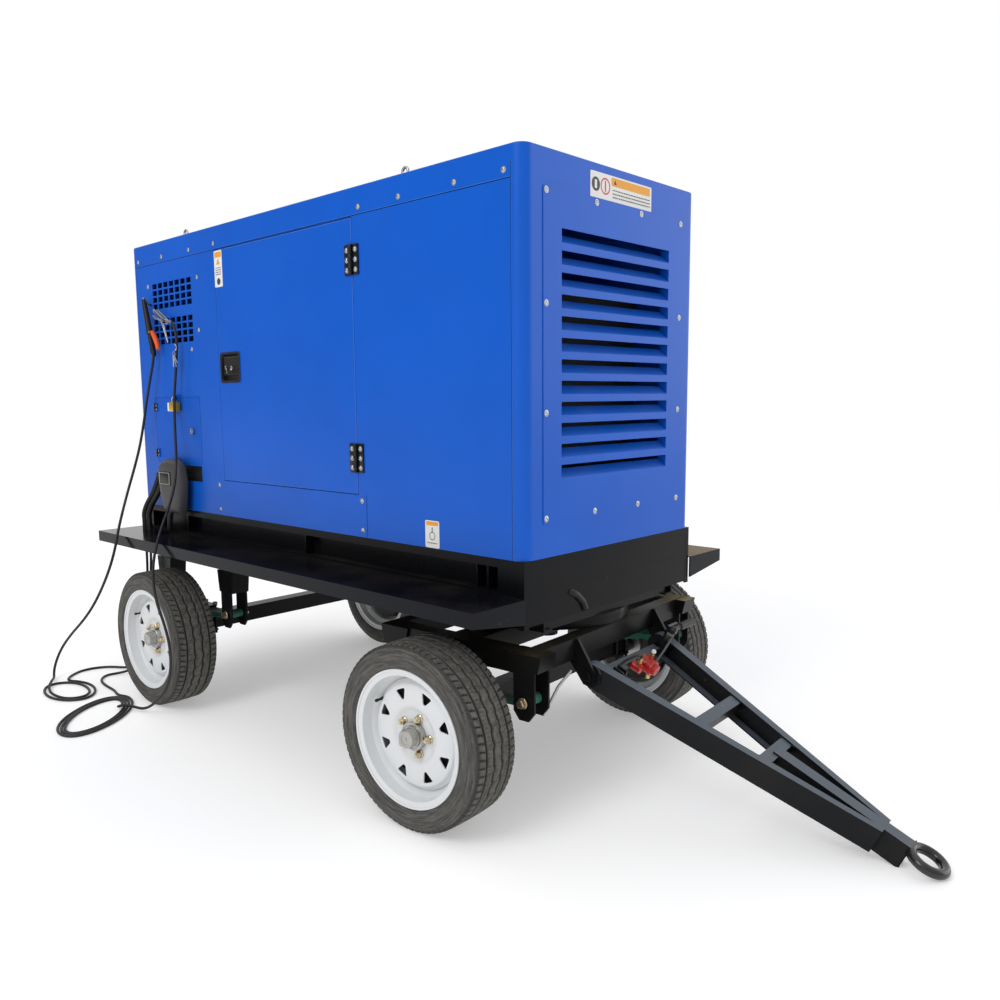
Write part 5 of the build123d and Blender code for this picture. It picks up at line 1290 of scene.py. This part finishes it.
holderPiece, leverPiece, clampPiece, jawPiece = electrodeHolder(), squeezeLever(), earthClamp(), clampJaw()
keysPiece, wirePiece = keyBunch()
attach(leads["electrodeLead"], "trailer")
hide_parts("lead_electrode_feed", "lead_electrode_coil", "lead_electrode_drop")
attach(leads["earthLead"], "trailer")
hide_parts("lead_earth_feed", "lead_earth_coil", "lead_earth_drop")


def lineLength(lead):
    bare = bpy.data.objects.new("bare", lead.data.copy())
    bare.data.bevel_depth = 0
    line = bpy.data.meshes.new_from_object(bare)
    points = [vert.co.copy() for vert in line.vertices]
    bpy.data.curves.remove(bare.data)
    return sum((b - a).length for a, b in zip(points, points[1:]))


for leadName, lead in leads.items():
    print("length of", leadName, round(lineLength(lead), 3))
print("welding tools done")


def handShield():
    # a pressed face shield: deep rounded shell, raised window frame, dark glass
    low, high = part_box("hand_shield")
    work = startMesh()
    back, front = -0.513, -0.5595
    rings = []
    outline = [(-0.50, 0.30), (-0.44, 0.44), (-0.24, 0.50), (0.08, 0.50), (0.30, 0.46), (0.44, 0.34), (0.50, 0.10),
               (0.46, -0.20), (0.38, -0.46), (0.30, -0.50), (-0.20, -0.50), (-0.30, -0.47), (-0.44, -0.16)]
    cx, cz = (low.x + high.x) / 2, (low.z + high.z) / 2
    wide, tall = high.x - low.x - 0.002, high.z - low.z - 0.002
    smoothLoop = []
    count = len(outline)
    for i in range(count):
        a, b, c, d = [Vector((*outline[(i + k) % count], 0)) for k in (-1, 0, 1, 2)]
        for step in range(5):
            t = step / 5
            smoothLoop.append(0.5 * ((2 * b) + (c - a) * t + (2 * a - 5 * b + 4 * c - d) * t ** 2 +
                                     (3 * b - a - 3 * c + d) * t ** 3))
    for share, depth in ((1.0, 0.0), (1.0, 0.10), (0.975, 0.42), (0.93, 0.72), (0.84, 0.92), (0.66, 1.0),
                         (0.30, 1.0)):
        y = back + (front - back) * depth
        rings.append([work.verts.new((cx + p.x * wide * share, y, cz + p.y * tall * share)) for p in smoothLoop])
    for inner, outer in zip(rings, rings[1:]):
        for i in range(len(smoothLoop)):
            j = (i + 1) % len(smoothLoop)
            work.faces.new((inner[i], inner[j], outer[j], outer[i]))
    work.faces.new(rings[-1])
    bmesh.ops.recalc_face_normals(work, faces=work.faces)
    data = bpy.data.meshes.new("shieldShell")
    work.to_mesh(data)
    work.free()
    shell = dressPiece("shieldShell", data, "shieldBlack", "trailer", 50)
    thick = shell.modifiers.new("wall", "SOLIDIFY")
    thick.thickness, thick.offset = 0.0026, -1
    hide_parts("hand_shield")
    frameWork = startMesh()
    wx, wz = cx - 0.018, cz + 0.040
    addBlock(frameWork, (wx - 0.052, -0.5635, wz - 0.032), (wx + 0.052, -0.552, wz + 0.032), rounding=0.004,
             segments=3)
    finishMesh(frameWork, "shieldWindowFrame", "hingeBlack", "trailer")
    rim = startMesh()
    for index in range(4):
        corners = [Vector((wx - 0.046, -0.5640, wz - 0.026)), Vector((wx + 0.046, -0.5640, wz - 0.026)),
                   Vector((wx + 0.046, -0.5640, wz + 0.026)), Vector((wx - 0.046, -0.5640, wz + 0.026))]
        tube(rim, [corners[index], corners[(index + 1) % 4]], 0.0020, 8)
    finishMesh(rim, "shieldWindowRim", "steel", "trailer")
    pane = startMesh()
    addBlock(pane, (wx - 0.043, -0.5640, wz - 0.023), (wx + 0.043, -0.560, wz + 0.023), rounding=0.0008)
    finishMesh(pane, "shieldPane", "hingeBlack", "trailer")
    grip = startMesh()
    tube(grip, [(cx - 0.020, -0.536, low.z + 0.012), (cx - 0.028, -0.540, low.z - 0.010),
                (cx - 0.034, -0.541, low.z - 0.055),
                (cx - 0.037, -0.541, low.z - 0.075)], [0.013, 0.0125, 0.0115, 0.009], 18)
    finishMesh(grip, "shieldHandle", "blackPlastic", "trailer")
    hook = startMesh()
    tube(hook, [(cx, nearSkin - 0.001, high.z - 0.006), (cx, -0.500, high.z + 0.004),
                (cx, -0.522, high.z - 0.004)], 0.003, 10)
    finishMesh(hook, "shieldHook", "steel", "trailer")


handShield()


def ribbedSleeves():
    # corrugated sleeves over the leads between the slot and the deck
    work = startMesh()
    for x in (-1.655, -1.610):
        route = [Vector((x + 0.095, -0.501, 1.008)), Vector((x + 0.086, -0.506, 0.985)),
                 Vector((x + 0.060, -0.523, 0.915)),
                 Vector((x + 0.022, -0.537, 0.860)), Vector((x + 0.002, -0.545, 0.815)), Vector((x, -0.545,
                                                                                                 0.775)),
                 Vector((x, -0.545, 0.735))]
        line, radii = [], []
        for index in range(len(route) - 1):
            a, b = route[index], route[index + 1]
            before, after = route[max(index - 1, 0)], route[min(index + 2, len(route) - 1)]
            for step in range(14):
                t = step / 14
                line.append(0.5 * ((2 * a) + (b - before) * t + (2 * before - 5 * a + 4 * b - after) * t ** 2 +
                                   (3 * a - before - 3 * b + after) * t ** 3))
                radii.append(0.0136 if len(line) % 3 else 0.0118)
        line.append(route[-1])
        radii.append(0.013)
        tube(work, line, radii, 20)
    sleeves = finishMesh(work, "ribbedSleeves", "sleeveBlack", "trailer", 60)
    clips = startMesh()
    for x in (-1.655, -1.610):
        addBlock(clips, (x + 0.079, -0.517, 0.9955), (x + 0.111, nearSkin, 1.0085), rounding=0.002)
    finishMesh(clips, "sleeveClips", "blackPlastic", "trailer")
    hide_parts("conduits")


ribbedSleeves()
print("shield and sleeves done")

# drawbar fittings, in the drawbar's own frame: ahead, across, up
fittings = dict(lever=(0.034, 0.188, 0.092), cylinder=(0.045, 0.075, -0.021), ringCentre=1.050)


def barPoint(ahead, across, up):
    return barFrame @ Vector((ahead, across, up))


def brakeParts():
    a, y, u = fittings["lever"]
    grip = startMesh()
    line, radii = [], []
    for i in range(31):
        share = i / 30
        line.append(barPoint(a - 0.001, y + 0.055 + 0.1045 * share, u))
        radii.append(0.0140 if 2 < i < 28 and i % 2 else 0.0128)
    tube(grip, line, radii, 22)
    finishMesh(grip, "leverGrip", "gripGrey", "brake_lever", 60)
    arm = startMesh()
    tube(arm, [barPoint(a - 0.001, y - 0.002, u), barPoint(a - 0.001, y + 0.060, u)], [0.0112, 0.0085], 16)
    addBolt(arm, barFrame @ facing((a + 0.009, y, u), (1, 0, 0)), 0.018, 0.006, 0.013)
    finishMesh(arm, "leverArm", "hingeBlack", "brake_lever")
    body = startMesh()
    cy, cu = fittings["cylinder"][1], fittings["cylinder"][2]
    out = barFrame @ facing((0, cy, cu), (1, 0, 0))
    turned(body, [(0, 0.015), (0.0285, 0.015), (0.0285, 0.019), (0.0272, 0.021), (0.0272, 0.058), (0.0290, 0.060),
                  (0.0290, 0.070), (0.0275, 0.0725), (0.0205, 0.0725), (0.0205, 0.082), (0.0190, 0.0850),
                  (0.008, 0.0850),
                  (0.008, 0.0830), (0, 0.0830)], out, 40)
    finishMesh(body, "brakeCylinderBody", "cylinderRed", "drawbar", 30)
    valve = startMesh()
    low = barFrame @ facing((0, 0.018, cu), (1, 0, 0))
    turned(valve, [(0, 0.014), (0.0168, 0.014), (0.0168, 0.030), (0.0120, 0.033), (0.0120, 0.044), (0.0162, 0.046),
                   (0.0162, 0.0525), (0, 0.0535)], low, 28)
    finishMesh(valve, "feedValve", "cylinderRed", "drawbar", 30)
    brassWork = startMesh()
    turned(brassWork, [(0, 0.0), (0.0085, 0.0), (0.0085, 0.012), (0.0065, 0.013), (0.0065, 0.0255), (0.005, 0.026),
                       (0, 0.026)], barFrame @ facing((0.045, cy, 0.001), (0, 0, 1)), 6)
    turned(brassWork, [(0, 0.0), (0.0105, 0.0), (0.0105, 0.010), (0.0075, 0.011), (0.0075, 0.024), (0, 0.024)],
           barFrame @ facing((0.034, 0.018, -0.006), (0, 0, 1)), 6)
    turned(brassWork, [(0, 0.0), (0.007, 0.0), (0.007, 0.018), (0, 0.018)],
           barFrame @ facing((0.060, cy, -0.048), (0.3, 0, -1)), 6)
    finishMesh(brassWork, "brakeUnions", "brass", "drawbar", 30)
    ball = startMesh()
    bmesh.ops.create_uvsphere(ball, u_segments=24, v_segments=16, radius=0.0085,
                              matrix=Matrix.Translation(barPoint(0.045, cy, 0.036)))
    finishMesh(ball, "whiteKnob", "labelWhite", "drawbar", 60)
    link = startMesh()
    tube(link, [barPoint(a + 0.010, y, u - 0.028), barPoint(a + 0.014, y - 0.030, 0.020),
                barPoint(0.052, cy + 0.050, -0.012),
                barPoint(0.052, cy + 0.030, -0.021)], 0.0040, 12)
    tube(link, [barPoint(0.016, 0.095, -0.018), barPoint(0.016, 0.120, -0.018)], 0.006, 12)
    finishMesh(link, "brakeLink", "castGrey", "drawbar")
    hose = startMesh()
    tube(hose, [barPoint(0.034, 0.018, 0.018), barPoint(0.038, 0.006, 0.034), barPoint(0.030, -0.025, 0.036),
                barPoint(0.018, -0.055, 0.018), barPoint(0.010, -0.080, -0.004)], 0.0048, 12)
    finishMesh(hose, "brakeHose", "sleeveBlack", "drawbar", 60)
    clevis = startMesh()
    for across in (-0.118, -0.092):
        addBlock(clevis, (0.010, across, -0.030), (0.050, across + 0.006, 0.004), barFrame, 0.001)
    tube(clevis, [barPoint(0.038, -0.124, -0.012), barPoint(0.038, -0.082, -0.012)], 0.005, 12)
    tube(clevis, [barPoint(0.030, -0.103, -0.012), barPoint(0.115, -0.103, -0.012)], 0.0065, 12)
    finishMesh(clevis, "brakeClevis", "hingeBlack", "drawbar")


brakeParts()


def ringMesh():
    # the tow ring as one forged bar, over the plain one
    work = startMesh()
    centre, up = fittings["ringCentre"], 0.025
    major, minor, band = 0.048, 0.0152, 0.034
    around, across = 72, 24
    rings = []
    for i in range(around):
        angle = 2 * math.pi * i / around
        ring = []
        for j in range(across):
            turn = 2 * math.pi * j / across
            radius = max(major + minor * math.cos(turn), band - 0.0002)
            ring.append(work.verts.new(barPoint(centre + radius * math.cos(angle), radius * math.sin(angle),
                                                up + minor * math.sin(turn))))
        rings.append(ring)
    for i in range(around):
        for j in range(across):
            work.faces.new((rings[i][j], rings[(i + 1) % around][j], rings[(i + 1) % around][(j + 1) % across],
                            rings[i][(j + 1) % across]))
    for side in (-1, 1):
        tube(work, [barPoint(1.000, side * 0.0172, up), barPoint(1.004, side * 0.0185, up),
                    barPoint(1.0125, side * 0.0300, up)],
             [0.0158, 0.0140, 0.0134], 20)
    ring = finishMesh(work, "towRing", "eyeBlack", "drawbar", 60)
    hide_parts("tow_eye")


ringMesh()


def weldBeads():
    # short lines of weld where the cross pieces and the spine meet the beams
    work = startMesh()
    for ahead in (0.330, 0.370, 0.540, 0.580):
        reach = 0.250 - 0.2228 * ahead - 0.006
        for side in (-1, 1):
            line = [barPoint(ahead, side * (reach - 0.036 + 0.036 * i / 8),
                             0.0345 + 0.001 * (i % 2)) for i in range(9)]
            tube(work, line, 0.0022, 8)
    for side in (-1, 1):
        line = [barPoint(0.999, side * 0.024, -0.036 + 0.072 * i / 14) for i in range(15)]
        tube(work, line, 0.0022, 8)
        line = [barPoint(1.001, side * (0.006 + 0.028 * i / 6), 0.037 - 0.0005 * (i % 2)) for i in range(7)]
        tube(work, line, 0.0024, 8)
    finishMesh(work, "drawbarWelds", "chassisBlack", "drawbar", 60)
    pins = startMesh()
    for side in (-1, 1):
        out = facing((0, side * 0.250, 0), (0, side, 0))
        turned(pins, [(0, 0.018), (0.0165, 0.018), (0.0165, 0.0215), (0.0145, 0.0222), (0, 0.0222)],
               barFrame @ out, 28)
    finishMesh(pins, "hingePinHeads", "chassisBlack", "bogie")


weldBeads()


# bogie and chassis fittings
def bogieDetails():
    def at(x, y, z):
        return bogieFrame @ Vector((x, y, z))
    bolts = startMesh()
    for x in (-0.280, 0.280):
        for side in (-1, 1):
            for out in (-1, 1):
                y = side * 0.475 + out * 0.0475
                addBolt(bolts, bogieFrame @ facing((x, y, 0.412), (0, out, 0)), 0.026, 0.014, 0.018)
    finishMesh(bolts, "springPinNuts", "zinc", "bogie")
    rearBolts = startMesh()
    rearX = joints["rear_right_spin"]["pos_m"][0]
    for x in (rearX - 0.280, rearX + 0.280):
        for side in (-1, 1):
            for out in (-1, 1):
                y = side * 0.475 + out * 0.0475
                addBolt(rearBolts, facing((x, y, 0.412), (0, out, 0)), 0.026, 0.014, 0.018)
    finishMesh(rearBolts, "rearSpringPinNuts", "zinc", "trailer")
    for end, frameMatrix, body in (("front", bogieFrame, "front_axle"),
                                   ("rear", Matrix.Translation((rearX, 0, 0)), "rear_axle")):
        nuts = startMesh()
        for side in (-1, 1):
            for x in (-0.042, 0.042):
                for y in (-0.038, 0.038):
                    turned(nuts, [(0.0115, 0), (0.0115, 0.010), (0.0100, 0.0115), (0.006, 0.0115)],
                           frameMatrix @ facing((x, side * 0.475 + y, 0.409), (0, 0, 1)), 6)
        finishMesh(nuts, f"clampNuts_{end}", "zinc", body)
    rod = startMesh()
    tube(rod, [at(0.330, -0.330, 0.478), at(0.322, -0.390, 0.440), at(0.300, -0.440, 0.352)], 0.005, 10)
    finishMesh(rod, "brakeRod", "steel", "bogie")
    drain = startMesh()
    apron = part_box("skid_base")[1].x
    tube(drain, [(apron - 0.004, -0.250, 0.718), (apron + 0.001, -0.249, 0.718), (apron + 0.0022, -0.220, 0.703),
                 (apron + 0.0020, -0.190, 0.676), (apron + 0.0010, -0.176, 0.650)], 0.0115, 16)
    finishMesh(drain, "drainHose", "sleeveBlack", "trailer", 60)


bogieDetails()
print("running gear done")

# floor and light
studio = dict(floor=0.82, glow=0.30, sky=1.0, front=0.62, darkSide=0.22, brightSide=2.1, keyPower=170,
              fillPower=25)


def studioSet():
    floor = bpy.data.meshes.new("floor")
    floor.from_pydata([(-30, -30, 0), (30, -30, 0), (30, 30, 0), (-30, 30, 0)], [], [(0, 1, 2, 3)])
    material = bpy.data.materials.new("paleFloor")
    material.use_nodes = True
    shader = material.node_tree.nodes["Principled BSDF"]
    shader.inputs["Base Color"].default_value = (studio["floor"],) * 3 + (1,)
    shader.inputs["Roughness"].default_value = 0.9
    shader.inputs["Specular IOR Level"].default_value = 0.0
    shader.inputs["Emission Color"].default_value = (1, 1, 1, 1)
    shader.inputs["Emission Strength"].default_value = studio["glow"]
    floor.materials.append(material)
    ground = bpy.data.objects.new("floor", floor)
    bpy.context.scene.collection.objects.link(ground)
    world = bpy.data.worlds.new("studio")
    world.use_nodes = True
    tree = world.node_tree
    # the room is dim on one side and bright on the other, and plain white where it is seen
    background = tree.nodes["Background"]
    place = addNode(tree, "ShaderNodeTexCoord", (-1300, 0))
    shares = []
    for row, (aim, near, far, low, high) in enumerate((
        ((0.7, 0.7, 0.0), -0.95, -0.45, studio["darkSide"], 1.0),
        ((1.0, 0.0, 0.0), 0.0, 0.6, 1.0, studio["front"]),
        ((0.62, 0.76, 0.16), 0.86, 0.98, 1.0, studio["brightSide"] / studio["front"]),
    )):
        towards = addNode(tree, "ShaderNodeVectorMath", (-1100, -200 * row), operation="DOT_PRODUCT")
        towards.inputs[1].default_value = aim
        ramp = addNode(tree, "ShaderNodeMapRange", (-900, -200 * row), interpolation_type="SMOOTHSTEP")
        for name, value in (("From Min", near), ("From Max", far), ("To Min", low), ("To Max", high)):
            ramp.inputs[name].default_value = value
        tree.links.new(place.outputs["Generated"], towards.inputs[0])
        tree.links.new(towards.outputs["Value"], ramp.inputs["Value"])
        shares.append(ramp.outputs["Result"])
    for row in (0, 1):
        both = addNode(tree, "ShaderNodeMath", (-650 + 150 * row, -100), operation="MULTIPLY")
        tree.links.new(shares[0], both.inputs[0])
        tree.links.new(shares[row + 1], both.inputs[1])
        shares[0] = both.outputs[0]
    seen = addNode(tree, "ShaderNodeLightPath", (-500, 300))
    pale = addNode(tree, "ShaderNodeMix", (-250, 0), data_type="RGBA")
    tree.links.new(seen.outputs["Is Camera Ray"], pale.inputs["Factor"])
    tree.links.new(shares[0], pale.inputs[6])
    pale.inputs[7].default_value = (1, 1, 1, 1)
    tree.links.new(pale.outputs[2], background.inputs["Color"])
    background.inputs["Strength"].default_value = studio["sky"]
    bpy.context.scene.world = world
    for name, place, aim, size, power in (
        ("keyLight", (0.4, -6.2, 6.0), (-0.4, 0, 1.0), 4.0, studio["keyPower"]),
        ("fillLight", (-1.5, -7.0, 2.5), (-0.6, 0, 1.0), 4.0, studio["fillPower"]),
    ):
        data = bpy.data.lights.new(name, "AREA")
        data.shape, data.size, data.energy = "DISK", size, power
        lamp = bpy.data.objects.new(name, data)
        bpy.context.scene.collection.objects.link(lamp)
        lamp.matrix_world = facing(place, Vector(place) - Vector(aim))


studioSet()
bpy.context.scene.view_settings.view_transform = "Standard"
print("scene done")
